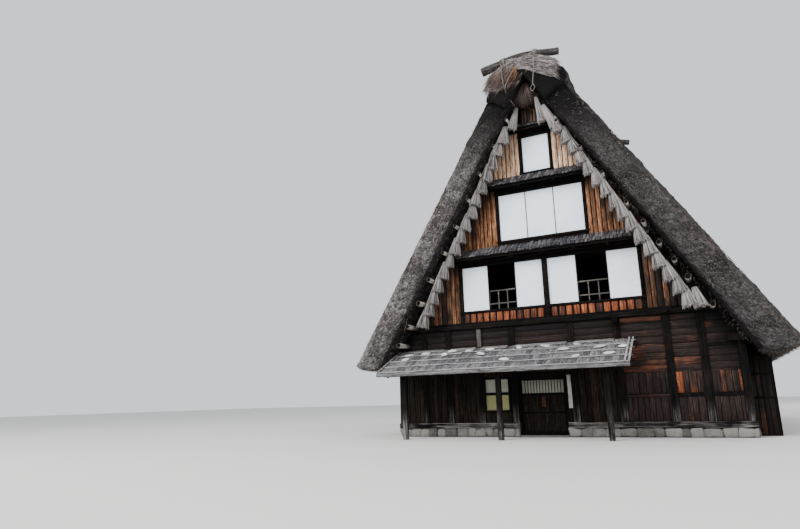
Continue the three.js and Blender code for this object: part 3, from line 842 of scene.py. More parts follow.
def thatchStraws(side, node, seed):
    # straws that stand out of the verge faces and lie on the slopes
    random = np.random.default_rng(seed)
    count = thatchValues["vergeStraws"]
    slope = random.triangular(0, 0.35, 1, count)
    depth = random.random(count) ** 0.8
    end = random.integers(0, 2, count)
    standing = slabPlaces(slope, end.astype(float), depth)
    ways = downSlope(np.where(end == 0, -0.75, 0.75)) + random.normal(0, 0.35, (count, 3))
    ways[:, 0] += depth * 0.5
    lengths = random.uniform(0.05, 0.13, count)
    rowCount = thatchValues["slopeStraws"]
    lying = slabPlaces(random.random(rowCount), random.random(rowCount), np.ones(rowCount))
    down = downSlope(np.zeros(rowCount)) + (random.normal(0, 0.12, (rowCount, 3)) + (0.06, 0, 0.04))
    # ragged ends that hang from the cut edge of the eave
    eaveCount = thatchValues["eaveStraws"]
    hanging = slabPlaces(np.zeros(eaveCount), random.random(eaveCount), random.random(eaveCount))
    drop = np.array([0.55, 0, -1.0]) + random.normal(0, 0.2, (eaveCount, 3))
    starts = np.concatenate([standing - ways * 0.03, lying, hanging - drop * 0.05])
    ways = np.concatenate([ways, down, drop])
    lengths = np.concatenate([lengths, random.uniform(0.12, 0.3, rowCount),
                              random.uniform(0.08, 0.19, eaveCount)])
    widths = random.uniform(0.005, 0.012, len(lengths))
    placed = laidAlong(straw, starts, ways, lengths, widths)
    if side < 0:
        placed = turnedBack(placed)
    mesh = joinCopies(f"{node}_straws", straw, placed, random.random(len(lengths)))
    newPiece(mesh, looseStraw)


thatchSlab(1, "thatch_right")
thatchSlab(-1, "thatch_left")
thatchStraws(1, "thatch_right", 11)
thatchStraws(-1, "thatch_left", 12)
print("thatch laid")


# The straw cap folded over the ridge
capValues = {
    "cuts": (90, 90, 10),
    "front": frontWall - verge - 0.115,
    "back": backWall + verge + 0.115,
    "outside": [(-1.37, 11.45), (-1.29, 11.70), (-1.25, 12.03), (-1.09, 12.25), (-0.80, 12.45),
                (-0.35, 12.66), (0.35, 12.66), (0.82, 12.45), (1.18, 12.23), (1.40, 11.98), (1.49, 11.72),
                (1.45, 11.50)],
    "inside": [(-0.665, 11.04), (0, 12.13), (0.665, 11.04)],
    "girth": 5.6,
    "thick": 0.8,
    "rounding": 0.25,
    "shrink": 0.10,
    "heart": (0, 11.2),
    "lumps": [((1.6, 1.6, 1.6), 0.04), ((9.0, 3.0, 3.0), 0.025), ((16.0, 16.0, 10.0), 0.02)],
    "fringe": 2400,
}


def alongLine(points, share):
    # places along a line of points, by their share of its length
    points = np.array(points)
    legs = np.linalg.norm(np.diff(points, axis=0), axis=1)
    stops = np.concatenate([[0], np.cumsum(legs)]) / legs.sum()
    return np.stack([np.interp(share, stops, points[:, axis]) for axis in (0, 1)], 1)


def capPlaces(across, along, depth):
    values = capValues
    outer = alongLine(values["outside"], across)
    inner = alongLine(values["inside"], across)
    flat = inner + (outer - inner) * depth[:, None]
    long = values["back"] - values["front"]
    rounding = np.minimum(np.minimum(along, 1 - along) * long, values["rounding"]) / values["rounding"]
    shrink = 1 - values["shrink"] * (1 - np.sqrt(1 - (1 - rounding) ** 2)) * depth
    heart = np.array(values["heart"])
    return placesAt(heart + (flat - heart) * shrink[:, None], values["front"] + long * along)


def ridgeCap():
    bm, unit = gridBlock(capValues["cuts"])
    across, along, depth = unit[:, 0], unit[:, 1], unit[:, 2]
    places = capPlaces(across, eased(along, 0.4), depth)
    flow = np.stack([places[:, 1], across * capValues["girth"], depth * capValues["thick"]], 1)
    mesh = flowMesh("ridge_cap_straw", bm, places, flow)
    roughen(mesh, capValues["lumps"])
    made = newPiece(mesh, oldThatch, smooth=True)
    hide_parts("ridge_cap")


def capFringe():
    # ragged straws under the cap's front and back edges, where it stands on the slabs
    random = np.random.default_rng(110)
    count = capValues["fringe"]
    way = np.where(random.random(count) < 0.5, -1.0, 1.0)
    share = random.uniform(0.02, 0.9, count)
    inner, outer = np.array(capValues["inside"][-1]), np.array(capValues["outside"][-1])
    flat = inner + (outer - inner) * share[:, None]
    flat[way < 0] = flat[way < 0] * (0.94, 1.0)
    starts = np.stack([way * flat[:, 0], capValues["front"] + random.uniform(0.02, 0.13, count),
                       flat[:, 1] + random.uniform(0.02, 0.10, count)], 1)
    ways = np.stack([way * random.normal(0.2, 0.3, count), -random.uniform(0.0, 0.2, count),
                     -np.ones(count)], 1)
    halfToBack(random, starts, ways)
    lengths = random.uniform(0.06, 0.20, count)
    placed = laidAlong(straw, starts, ways, lengths, random.uniform(0.004, 0.009, count))
    mesh = joinCopies("ridge_cap_fringe", straw, placed, random.random(count) * 0.4 - 0.35)
    newPiece(mesh, looseStraw)


ridgeCap()
capFringe()
print("ridge cap folded")


# The ridge: straw folded over it, logs tied on top, and what hangs from each peak
ridgeValues = {
    "padTop": [(-1.26, 11.98), (-1.13, 12.26), (-0.81, 12.48), (-0.35, 12.70), (0.35, 12.70), (0.83, 12.49),
               (1.17, 12.27)],
    "padFoot": [(-1.22, 11.70), (-0.84, 11.61), (-0.57, 11.80), (-0.32, 12.10), (-0.17, 12.29), (0.05, 12.24),
                (0.50, 11.96), (0.80, 11.78), (1.06, 11.66)],
    "padFront": capValues["front"] - 0.045,
    "padBack": capValues["back"] + 0.045,
    "padGirth": 3.4,
    "padThick": 0.5,
    "padCuts": (50, 60, 8),
    "padLumps": [((9.0, 2.5, 9.0), 0.02), ((22.0, 6.0, 22.0), 0.012)],
    "frontStraws": 5200,
    "topStraws": 4200,
    "rimStraws": 3600,
}


def padPlaces(share, depth):
    # share runs across the fold from left to right, depth from its foot to its top
    top = alongLine(ridgeValues["padTop"], share)
    foot = alongLine(ridgeValues["padFoot"], share)
    return foot + (top - foot) * depth[:, None]


def ridgePad():
    values = ridgeValues
    bm, unit = gridBlock(values["padCuts"])
    across, along, depth = unit[:, 0], unit[:, 1], unit[:, 2]
    y = values["padFront"] + (values["padBack"] - values["padFront"]) * eased(along, 0.4)
    flow = np.stack([y, across * values["padGirth"], depth * values["padThick"]], 1)
    mesh = flowMesh("ridge_pad", bm, placesAt(padPlaces(across, depth), y), flow)
    roughen(mesh, values["padLumps"])
    newPiece(mesh, padStraw, smooth=True)


def ridgeStraws():
    # straws of the fold: on its two end faces, over its top and ragged along its rims
    values = ridgeValues
    random = np.random.default_rng(111)
    front, back = values["padFront"], values["padBack"]
    count = values["frontStraws"]
    share, depth = random.uniform(0.0, 1.0, count), random.random(count) ** 0.8
    way = np.where(share < 0.48, -1.0, 1.0)
    here, there = padPlaces(share, depth), padPlaces(np.clip(share + way * 0.02, 0, 1), depth)
    past = np.stack([np.where(way > 0, 0.65, -0.25), np.full(count, -0.7)], 1)
    ahead = unitWays(np.where(((share < 0.04) | (share > 0.95))[:, None], past, there - here))
    starts = [placesAt(here, front - random.uniform(-0.01, 0.02, count))]
    ways = [placesAt(ahead, -random.uniform(0.0, 0.07, count)) + random.normal(0, 0.06, (count, 3))]
    lengths = [random.uniform(0.16, 0.42, count)]
    halfToBack(random, starts[0], ways[0])
    count = values["topStraws"]
    share = random.uniform(0.03, 0.97, count)
    way = np.where(share < 0.5, -1.0, 1.0)
    here = padPlaces(share, np.ones(count))
    there = padPlaces(np.clip(share + way * 0.03, 0, 1), np.ones(count))
    starts.append(placesAt(here + (0, 0.004), random.uniform(front, back, count)))
    ways.append(placesAt(there - here + (0, 0.006), random.normal(0, 0.01, count)))
    lengths.append(random.uniform(0.12, 0.30, count))
    count = values["rimStraws"]
    rim = np.where(random.random(count) < 0.5, 0.0, 1.0)
    here = padPlaces(rim, random.random(count))
    here[:, 0] += 0.03 * (1 - 2 * rim)
    starts.append(placesAt(here, random.uniform(front, back, count)))
    across = np.where(rim > 0, random.uniform(0.5, 1.0, count), -random.uniform(0.0, 0.2, count))
    ways.append(np.stack([across, random.normal(0, 0.08, count), -np.ones(count)], 1))
    lengths.append(random.uniform(0.10, 0.30, count))
    starts, ways, lengths = np.concatenate(starts), np.concatenate(ways), np.concatenate(lengths)
    placed = laidAlong(straw, starts, ways, lengths, random.uniform(0.004, 0.011, len(lengths)))
    mesh = joinCopies("ridge_pad_straws", straw, placed, random.random(len(lengths)))
    newPiece(mesh, foldStraw)


# Golden and brown straw torn out of the fold, and old straw that hangs in front of the peak
tuftValues = [
    {"kind": "gold", "finish": goldStraw, "count": 220, "spot": (-0.25, 12.22), "size": (0.04, 0.05),
     "way": (-0.50, -1.0), "spread": 0.12, "long": (0.22, 0.46), "out": 1.15},
    {"kind": "brown", "finish": brownStraw, "count": 950, "spot": (-0.62, 12.10), "size": (0.24, 0.15),
     "way": (-0.70, -0.9), "spread": 0.13, "long": (0.22, 0.48), "out": 1.13},
    {"kind": "old", "finish": oldStraw, "count": 800, "spot": (-0.06, 11.84), "size": (0.035, 0.06),
     "way": (0.0, -1.0), "spread": 0.32, "long": (0.40, 0.90), "out": 0.60},
]
slatValues = {"left": -0.37, "right": 0.22, "low": 10.73, "high": 11.20, "pitch": 0.1, "wide": 0.072}


def peakTufts(side):
    random = np.random.default_rng(112 if side == "front" else 113)
    for tuft in tuftValues:
        count = tuft["count"]
        (x, z), (wide, high), (across, up) = tuft["spot"], tuft["size"], tuft["way"]
        starts = np.stack([random.normal(x, wide, count),
                           wallY("front", tuft["out"]) + random.normal(0, 0.02, count),
                           random.normal(z, high, count)], 1)
        ways = np.stack([random.normal(across, tuft["spread"], count), random.normal(-0.06, 0.05, count),
                         np.full(count, up)], 1)
        if side == "back":
            starts, ways = turnedBack(starts), ways * (-1, -1, 1)
        lengths = random.uniform(*tuft["long"], count)
        placed = laidAlong(straw, starts, ways, lengths, random.uniform(0.004, 0.008, count))
        mesh = joinCopies(f"{side}_peak_{tuft['kind']}_straw", straw, placed, random.random(count))
        newPiece(mesh, tuft["finish"])


def peakSlatRow(side):
    # a few slats that close the gable's tip
    values = slatValues
    slats = Timbers(114)
    way = 1 if side == "front" else -1
    near, far = wallY(side, 0.03), wallY(side, 0.052)
    for x in np.arange(values["left"], values["right"], values["pitch"]):
        top = values["high"] + slats.random.uniform(-0.05, 0.03)
        slats.add((way * x, near, values["low"]), (way * (x + values["wide"]), far, top),
                  tint=slats.random.uniform(0.3, 1.0), loose=0.012)
    slats.make(f"{side}_peak_slats", peakSlats, "boards")


# The logs on the ridge, in points across and up, and the turns of straw rope round each
endLog = [(-1.48, 12.655), (-1.00, 12.74), (-0.50, 12.83), (0.00, 12.865), (0.45, 12.83), (0.85, 12.755),
          (1.24, 12.70)]
middleLog = [(-1.72, 12.69), (-0.80, 12.78), (0.00, 12.84), (0.60, 12.80), (1.20, 12.69), (1.85, 12.52),
             (2.50, 12.33)]
endLogY = frontWall - 0.82
logs = [
    ("front", endLog, endLogY, False),
    ("back", endLog, endLogY, True),
    ("middle", middleLog, middleY, False),
]
logValues = {
    "radius": (0.15, 0.118),
    "knobs": 0.11,
    "ridges": 0.06,
    "wraps": [-0.68, 0.45],
    "turns": 5,
    "pitch": 0.031,
    "wrapRadius": 0.152,
    "wrapThick": 0.018,
}


def barkLog(node, line, y, back):
    near, far = logValues["radius"]
    points = np.array([(x, y, z) for x, z in line])
    if back:
        points = turnedBack(points)

    def radiusAt(angle, distance):
        share = distance / distance.max()
        round0, round1 = np.cos(angle) * 0.9, np.sin(angle) * 0.9
        knobs = [noise.noise(Vector(spot)) for spot in zip(round0, round1, distance * 2.4 + y)]
        ridges = [noise.noise(Vector((a * 3.0, d * 1.5, y))) for a, d in zip(angle, distance)]
        rough = 1 + logValues["knobs"] * np.array(knobs) + logValues["ridges"] * np.array(ridges)
        return (near + (far - near) * share) * rough

    mesh = tubeAlong(f"{node}_bark", points, 26, 60, radiusAt)
    made = newPiece(mesh, ridgeBark, smooth=True)
    for face in mesh.polygons:
        face.use_smooth = len(face.vertices) == 4
    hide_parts(node)


def ropeRing():
    # one turn of rope round the upright axis
    radius = logValues["wrapRadius"]
    bm = bmesh.new()
    bmesh.ops.create_circle(bm, segments=8, radius=logValues["wrapThick"])
    bmesh.ops.translate(bm, verts=bm.verts, vec=(radius, 0, 0))
    upright = Matrix.Rotation(math.pi / 2, 3, "X")
    bmesh.ops.rotate(bm, verts=bm.verts, cent=(radius, 0, 0), matrix=upright)
    bmesh.ops.spin(bm, geom=bm.edges[:] + bm.verts[:], cent=(0, 0, 0), axis=(0, 0, 1), angle=2 * math.pi,
                   steps=24, use_merge=True)
    return bm


def logWraps():
    random = np.random.default_rng(115)
    whole = bmesh.new()
    turns = logValues["turns"]
    for _, line, y, back in logs:
        line = np.array(line)
        for x in logValues["wraps"]:
            for turn in range(turns):
                at = x + (turn - turns // 2) * logValues["pitch"]
                spot = np.array([at, y, np.interp(at, line[:, 0], line[:, 1])])
                if back:
                    spot = turnedBack(spot)
                tilt = Euler((0, math.pi / 2 + random.normal(0, 0.06), random.normal(0, 0.07)))
                ring = ropeRing()
                ringPlace = Matrix.Translation(spot) @ tilt.to_matrix().to_4x4()
                bmesh.ops.transform(ring, matrix=ringPlace, verts=ring.verts)
                addTo(whole, ring)
    bmesh.ops.recalc_face_normals(whole, faces=whole.faces[:])
    newPiece(meshOf("log_wraps", whole), ropeFibre, smooth=True)


ridgePad()
ridgeStraws()
for side in ("front", "back"):
    peakTufts(side)
    peakSlatRow(side)
for place, line, y, back in logs:
    barkLog(f"ridge_log_{place}", line, y, back)
logWraps()
print("ridge tied down")


# Boards of the gable: upright ones beside the windows and short ones below the lowest row
gableValues = {
    "thick": 0.030,
    "wide": (0.105, 0.165),
    "seam": 0.026,
    "bevel": 0.009,
    "bands": [
        {"inner": 3.06, "low": 3.79, "high": 5.99, "tints": (0.1, 0.7)},
        {"inner": 1.56, "low": 6.27, "high": 8.43, "tints": (0.6, 1.0)},
        {"inner": 0.59, "low": 8.70, "high": 10.43, "tints": (0.75, 1.0), "tan": True},
        {"inner": 0.02, "low": 10.71, "high": 11.95, "tints": (0.1, 0.6)},
    ],
    "short": {"inner": 0.14, "half": 2.92, "low": 3.80, "high": 4.125, "pitch": 0.235, "wide": 0.178,
              "thick": 0.028},
}


def gableBoards(side, seed):
    values = gableValues
    boards, bleached, stubs = Timbers(seed), Timbers(seed + 1), Timbers(seed + 2)
    for band in values["bands"]:
        kind = bleached if "tan" in band else boards
        low, high = band["low"], band["high"]
        for way in (-1, 1):
            x = band["inner"]
            while x < soffitAt(low) - 0.08:
                wide = kind.random.uniform(*values["wide"])
                thick = values["thick"] * kind.random.uniform(0.7, 1.15)
                kind.add((way * x, wallY(side, seat), low), (way * (x + wide), wallY(side, thick), high),
                         tint=kind.random.uniform(*band["tints"]), loose=0.0015)
                x += wide + values["seam"]
    short = values["short"]
    for way in (-1, 1):
        for number in range(int(short["half"] / short["pitch"])):
            x = way * (short["inner"] + number * short["pitch"])
            tint = 0.4 + 0.6 * boards.random.random() ** 0.7
            low = short["low"] + boards.random.uniform(0, 0.02)
            far = x + way * short["wide"]
            stubs.add((x, wallY(side, seat), low), (far, wallY(side, short["thick"]), short["high"]),
                      tint=tint, loose=0.006)
    boards.make(f"{side}_gable_boards", brownUp, "boards", values["bevel"], cuts=soffitPlanes(0.05))
    bleached.make(f"{side}_top_boards", tanUp, "boards", values["bevel"], cuts=soffitPlanes(0.05))
    stubs.make(f"{side}_sill_boards", rustUp, "boards", values["bevel"])


# Dark frames round the window rows, with the sill and head bars that stand proud of the boards
frameValues = {
    "rows": [
        {"low": 4.211, "high": 5.776, "half": 2.931, "posts": [-1.981, -1.031, 1.031, 1.981],
         "postHalf": 0.017, "open": (1, 4),
         "panels": [(-2.931, -1.981), (-1.981, -1.031), (-1.031, -0.081), (0.081, 1.031), (1.031, 1.981),
                    (1.981, 2.931)]},
        {"low": 6.566, "high": 8.227, "half": 1.446, "posts": [-0.482, 0.482],
         "postHalf": 0.006, "open": (),
         "panels": [(-1.446, -0.482), (-0.482, 0.482), (0.482, 1.446)]},
        {"low": 8.910, "high": 10.219, "half": 0.470, "posts": [],
         "postHalf": 0, "open": (),
         "panels": [(-0.470, 0.470)]},
    ],
    "proud": 0.062,
    "bar": 0.075,
    "middle": 0.081,
    "edge": 0.014,
    "edgeOut": (-0.0195, -0.012),
}


def windowFrames(side, seed):
    bars = Timbers(seed)
    proud, wide, middle = (frameValues[key] for key in ("proud", "bar", "middle"))

    def bar(x0, x1, z0, z1, out=proud, back=seat):
        bars.add((x0, wallY(side, back), z0), (x1, wallY(side, out), z1), loose=0.0006)

    for number, row in enumerate(frameValues["rows"]):
        half, low, high = row["half"], row["low"], row["high"]
        reach = half + wide + 0.05
        bar(-reach, reach, low - wide, low)
        bar(-reach, reach, high, high + wide * 0.9)
        for way in (-1, 1):
            bar(way * half, way * (half + wide), low - wide, high + wide, proud - 0.012)
        for x in row["posts"]:
            bar(x - row["postHalf"], x + row["postHalf"], low, high, 0.004, -0.0195)
        if number == 0:
            bar(-middle, middle, 3.78, high + wide, proud + 0.012)
            bar(-half - 0.6, half + 0.6, pentLevels[0] - 0.07, pentLevels[0], 0.05)
            bar(-4.35, 4.35, 3.775, 3.82, 0.05)
        else:
            bar(-half - 0.1, half + 0.1, low - wide - 0.10, low - wide - 0.02, 0.04)
    bars.make(f"{side}_window_frames", smokedBars, "dark_timber", 0.006, cuts=soffitPlanes(0.03))


def panelEdges(side, seed):
    # slim wooden edges round each paper panel; the front stands with two bays open
    edges = Timbers(seed)
    wide = frameValues["edge"]
    near, far = (wallY(side, out) for out in frameValues["edgeOut"])
    for row in frameValues["rows"]:
        z0, z1 = row["low"], row["high"]
        for number, (x0, x1) in enumerate(row["panels"]):
            if side == "front" and number in row["open"]:
                continue
            edges.add((x0, near, z0), (x1, far, z0 + wide), tint=0.6)
            edges.add((x0, near, z1 - wide), (x1, far, z1), tint=0.6)
            edges.add((x0, near, z0), (x0 + wide, far, z1), tint=0.6)
            edges.add((x1 - wide, near, z0), (x1, far, z1), tint=0.6)
    edges.make(f"{side}_panel_edges", smokedBars, "dark_timber", 0.002)


for side, seed in (("front", 21), ("back", 22)):
    gableBoards(side, seed)
    windowFrames(side, seed + 10)
    panelEdges(side, seed + 60)
print("gables boarded")


# Shingled pents over the window rows: half width, how far out they reach and their fall
pentValues = {
    "rows": [(3.3, 0.45, 0.32), (1.9, 0.42, 0.32), (0.74, 0.33, 0.22)],
    "thick": 0.055,
    "shingle": {"wide": 0.125, "gap": 0.022, "thick": 0.022},
    "arm": {"half": 0.03, "deep": 0.055, "pitch": 0.475},
}


def pentShingles(side, number, seed):
    half, reach, rise = pentValues["rows"][number]
    shingle = pentValues["shingle"]
    slope = math.atan2(rise, reach)
    turn = math.degrees(slope) * (1 if side == "front" else -1)
    top = pentLevels[number] + pentValues["thick"]
    shingles = Timbers(seed)
    for out0, far, lift in [(reach - 0.26, reach + 0.05, 0.004), (0.03, reach - 0.10, 0.022)]:
        x = -half - 0.02
        while x < half:
            wide = shingle["wide"] * shingles.random.uniform(0.8, 1.25)
            out1 = far + shingles.random.uniform(-0.012, 0.018)
            middle = (out0 + out1) / 2
            long = (out1 - out0) / math.cos(slope)
            y = wallY(side, middle)
            low = top + (reach - middle) * math.tan(slope) + lift + shingles.random.uniform(0, 0.02)
            high = low + shingle["thick"]
            shingles.add((x, y - long / 2, low), (x + wide - shingle["gap"], y + long / 2, high),
                         (turn, 0, 0), loose=0.03)
            x += wide
    shingles.make(f"{side}_pent_shingles_{number + 1}", shingleDown, "grey_timber", 0.003)


def pentArms(side, number, seed):
    # short arms that carry the pent, and the bar along their ends
    half, reach, rise = pentValues["rows"][number]
    arm = pentValues["arm"]
    level = pentLevels[number]
    turn = math.degrees(math.atan2(rise, reach)) * (0.55 if side == "front" else -0.55)
    arms = Timbers(seed)
    for x in np.linspace(-half + 0.12, half - 0.12, max(2, round(half / arm["pitch"]))):
        arms.add((x - arm["half"], wallY(side, 0.0), level - arm["deep"]),
                 (x + arm["half"], wallY(side, reach - 0.03), level + 0.05), (turn, 0, 0))
    arms.add((-half + 0.02, wallY(side, reach - 0.075), level - arm["deep"]),
             (half - 0.02, wallY(side, reach - 0.02), level))
    arms.make(f"{side}_pent_arms_{number + 1}", smokedY, "dark_timber")


for side, seed in (("front", 40), ("back", 50)):
    for number in range(len(pentLevels)):
        pentShingles(side, number, seed + number)
        pentArms(side, number, seed + number + 3)
print("pents shingled")


# Bundles of straw that hang in steps along the inner edge of each verge, with longer ones at the peak.
# Each extra one has its place across, level, length, foot radius and lean
bundleValues = {
    "count": 16,
    "low": 3.7,
    "step": 0.41,
    "long": 0.62,
    "inside": (0.81, 0.44),
    "lean": 0.2,
    "foot": 0.215,
    "neck": 0.07,
    "deep": 0.62,
    "out": 0.625,
    "straws": 210,
    "leftExtra": [(0.495, 10.33, 0.80, 0.165, 0.29)],
    "rightExtra": [(0.38, 10.40, 0.95, 0.165, 0.21), (0.70, 10.06, 0.95, 0.18, 0.39),
                   (soffitAt(3.66) - 0.58, 3.66, 0.60, 0.20, 0.26)],
}


def bundleCore(foot, neck, long, random):
    # a flared skirt, flattened front to back, with folds down its sides
    bm = bmesh.new()
    bmesh.ops.create_cone(bm, cap_ends=True, segments=18, radius1=foot, radius2=neck, depth=long)
    lines = [edge for edge in bm.edges if abs(edge.verts[0].co.z - edge.verts[1].co.z) > 0.1]
    bmesh.ops.subdivide_edges(bm, edges=lines, cuts=4)
    phase = random.uniform(0, 6)
    for corner in bm.verts:
        down = 0.5 - corner.co.z / long
        angle = math.atan2(corner.co.y, corner.co.x)
        fold = 1 + 0.09 * math.sin(7 * angle + phase) * down + 0.06 * math.sin(13 * angle - phase) * down
        waist = 0.80 + 0.35 * (down - 0.25) ** 2
        corner.co.x *= fold * waist
        corner.co.y *= fold * waist
        if down > 0.95:
            corner.co.z += random.uniform(-0.035, 0.035)
    return bm


def bundleRow(side, way, seed, spots, node, bright):
    # spots: place across, level of the foot, length, foot radius and lean of each bundle
    values = bundleValues
    random = np.random.default_rng(seed)
    cores = bmesh.new()
    heads, tails, lengths, widths = [], [], [], []
    for x, low, long, foot, lean in spots:
        neck = values["neck"] * foot / values["foot"]
        lean = lean * way + random.normal(0, 0.03)
        tip = random.normal(0, 0.04)
        y = wallY(side, values["out"]) + random.normal(0, 0.012)
        turned = Euler((tip, -lean, random.uniform(-0.2, 0.2))).to_matrix().to_4x4()
        squash = Matrix.Diagonal((1, values["deep"], 1, 1))
        hung = Matrix.Translation((x, y, low + long / 2)) @ turned @ squash
        core = bundleCore(foot * 0.93, neck, long * 0.94, random)
        bmesh.ops.transform(core, matrix=hung, verts=core.verts)
        addTo(cores, core)
        count = values["straws"]
        angle = random.uniform(0, 2 * math.pi, count)
        ring = np.stack([np.cos(angle), np.sin(angle)], 1) * random.uniform(0.90, 1.06, count)[:, None]
        high = np.full(count, long * random.uniform(0.40, 0.52))
        down = -long / 2 + random.uniform(-0.05, 0.05, count)
        spin, spot = np.array(hung.to_3x3()).T, np.array(hung.translation)
        head = np.column_stack([ring * neck, high]) @ spin + spot
        tail = np.column_stack([ring * foot, down]) @ spin + spot
        heads.append(head)
        tails.append(tail)
        lengths.append(np.linalg.norm(tail - head, axis=1) * random.uniform(0.85, 1.04, count))
        widths.append(random.uniform(0.006, 0.011, count))
    mesh = meshOf(f"{node}_bundles", cores)
    # the core inside is tinted dark, a painted shade between the straws
    tintPoints(mesh, np.full(len(mesh.vertices), 0.3 * bright))
    made = newPiece(mesh, greyStraw)
    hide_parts(node)
    heads, tails, lengths = np.concatenate(heads), np.concatenate(tails), np.concatenate(lengths)
    placed = laidAlong(blade, heads, tails - heads, lengths, np.concatenate(widths))
    # each straw is darker towards its neck: painted shade under the bundle above, partly the straw's own
    # darker tone there
    tints = random.random(len(lengths))[:, None] * (0.45 + 0.55 * blade[0][:, 2]) * bright
    loose = joinCopies(f"{node}_bundles_straws", blade, placed, tints)
    newPiece(loose, greyStraw)


def vergeBundles(side, way, node, seed):
    values = bundleValues
    spots = []
    random = np.random.default_rng(seed)
    for number in range(values["count"]):
        low = values["low"] + number * values["step"]
        inside = np.interp(number / (values["count"] - 1), (0, 1), values["inside"])
        x = soffitAt(low) - inside + random.normal(0, 0.015)
        size = values["foot"] * random.uniform(0.92, 1.06)
        spots.append((way * x, low + random.normal(0, 0.01), values["long"], size, values["lean"]))
    # the right row of each gable, seen from outside, has more extra bundles and is brighter
    right = way > 0 if side == "front" else way < 0
    for x, low, long, foot, lean in values["rightExtra" if right else "leftExtra"]:
        spots.append((way * x, low, long, foot, lean))
    bundleRow(side, way, seed, spots, node, 1.0 if right else 0.72)


# A dark pole behind each row of bundles, tied back to the underside of the thatch with sticks
carrierValues = {
    "foot": (bundleValues["low"] + 0.25, 0.69),
    "head": (bundleValues["low"] + 17.2 * bundleValues["step"], 0.28),
    "out": 0.60,
    "radius": 0.03,
    "sticks": 8,
    "stickRadius": (0.010, 0.018),
}


def bundleCarriers():
    values = carrierValues
    random = np.random.default_rng(66)
    starts, ways, widths = [], [], []
    for way in (-1, 1):
        foot, head = (np.array([way * (soffitAt(level) - inside), wallY("front", values["out"]), level])
                      for level, inside in (values["foot"], values["head"]))
        starts.append(foot)
        ways.append(head - foot)
        widths.append(values["radius"])
        shares = np.linspace(0.03, 0.9, values["sticks"]) + random.uniform(-0.02, 0.02, values["sticks"])
        for share in shares:
            spot = foot + (head - foot) * share
            level = spot[2] + random.uniform(0.02, 0.16)
            y = wallY("front", 0.66 + random.uniform(-0.04, 0.04))
            starts.append(spot)
            ways.append(np.array([way * (soffitAt(level) + 0.05), y, level]) - spot)
            widths.append(random.uniform(*values["stickRadius"]))
    starts, ways, widths = np.array(starts), np.array(ways), np.array(widths)
    placed = laidAlong(stick, starts, ways, np.linalg.norm(ways, axis=1), widths)
    placed = np.concatenate([placed, turnedBack(placed)])
    mesh = joinCopies("bundle_carriers", stick, placed, random.random(len(placed)))
    newPiece(mesh, smokedY)


for side, seed in (("front", 61), ("back", 63)):
    vergeBundles(side, -1, f"{side}_verge_straw_left", seed)
    vergeBundles(side, 1, f"{side}_verge_straw_right", seed + 1)
bundleCarriers()
print("straw bundles hung")


# Poles of the roof: their dark hollow ends show between the thatch and the bundles
poleValues = {
    "leftEnds": [10.65, 9.78, 8.84, 8.0, 7.12, 6.26, 5.30, 4.56, 3.76, 3.13],
    "rightEnds": [10.2, 9.1, 8.1, 7.06, 6.3, 5.69, 5.1, 4.55, 3.7],
    "radius": (0.088, 0.05),
    "inside": 0.09,
    "long": 0.84,
    "rim": 0.12,
    "hollow": 0.08,
    "twigs": 2600,
}


def hollowPole():
    # a unit pole with a sunken end
    bm = bmesh.new()
    bmesh.ops.create_cone(bm, cap_ends=True, segments=12, radius1=1, radius2=0.96, depth=1)
    bmesh.ops.translate(bm, verts=bm.verts, vec=(0, 0, 0.5))
    end = max(bm.faces, key=lambda face: face.calc_center_median().z)
    bmesh.ops.inset_region(bm, faces=[end], thickness=poleValues["rim"])
    bmesh.ops.translate(bm, verts=end.verts, vec=(0, 0, -poleValues["hollow"]))
    return shapeOf(bm)


def roofPoles():
    values = poleValues
    random = np.random.default_rng(71)
    starts, ways, lengths, widths = [], [], [], []
    for side, outward in (("front", -1), ("back", 1)):
        for way, levels in ((-1, values["leftEnds"]), (1, values["rightEnds"])):
            for level in levels:
                radius = np.interp(level, (3.5, 9.0), values["radius"]) * random.uniform(0.85, 1.1)
                x = way * (soffitAt(level) - radius * 1.35 / math.sin(slopeAngle) - values["inside"])
                starts.append((x, wallY(side, 0.02), level))
                ways.append((random.normal(0, 0.02), outward, random.normal(0, 0.03)))
                lengths.append(values["long"] + random.uniform(0, 0.07))
                widths.append(radius)
    shape = hollowPole()
    placed = laidAlong(shape, np.array(starts), np.array(ways), np.array(lengths), np.array(widths))
    # painted shade, partly smoke: the sunken face is tinted black, and the bark round it pale
    rim = np.hypot(shape[0][:, 0], shape[0][:, 1]) >= 0.9
    tints = random.uniform(0.6, 1.0, len(starts))[:, None] * rim
    mesh = joinCopies("verge_poles", shape, placed, tints)
    newPiece(mesh, poleEnds)


def vergeTwigs():
    # thin twigs and straw ends in the dark strip under the thatch's inner edge
    random = np.random.default_rng(72)
    count = poleValues["twigs"]
    level = random.uniform(2.6, 11.8, count)
    way = np.where(random.random(count) < 0.5, -1.0, 1.0)
    inset = random.uniform(0.01, 0.16, count)
    out = random.uniform(0.1, 0.92, count)
    starts = np.stack([way * (soffitAt(level) - inset), frontWall - out, level], 1)
    ways = np.stack([-way * random.uniform(-0.4, 0.9, count), -random.uniform(0.1, 1.0, count),
                     -random.uniform(0.1, 1.2, count)], 1)
    lengths = random.uniform(0.06, 0.2, count)
    widths = random.uniform(0.003, 0.007, count)
    halfToBack(random, starts, ways)
    placed = laidAlong(straw, starts, ways, lengths, widths)
    mesh = joinCopies("verge_twigs", straw, placed, random.random(count))
    newPiece(mesh, looseStraw)


roofPoles()
vergeTwigs()
print("verge poles set")


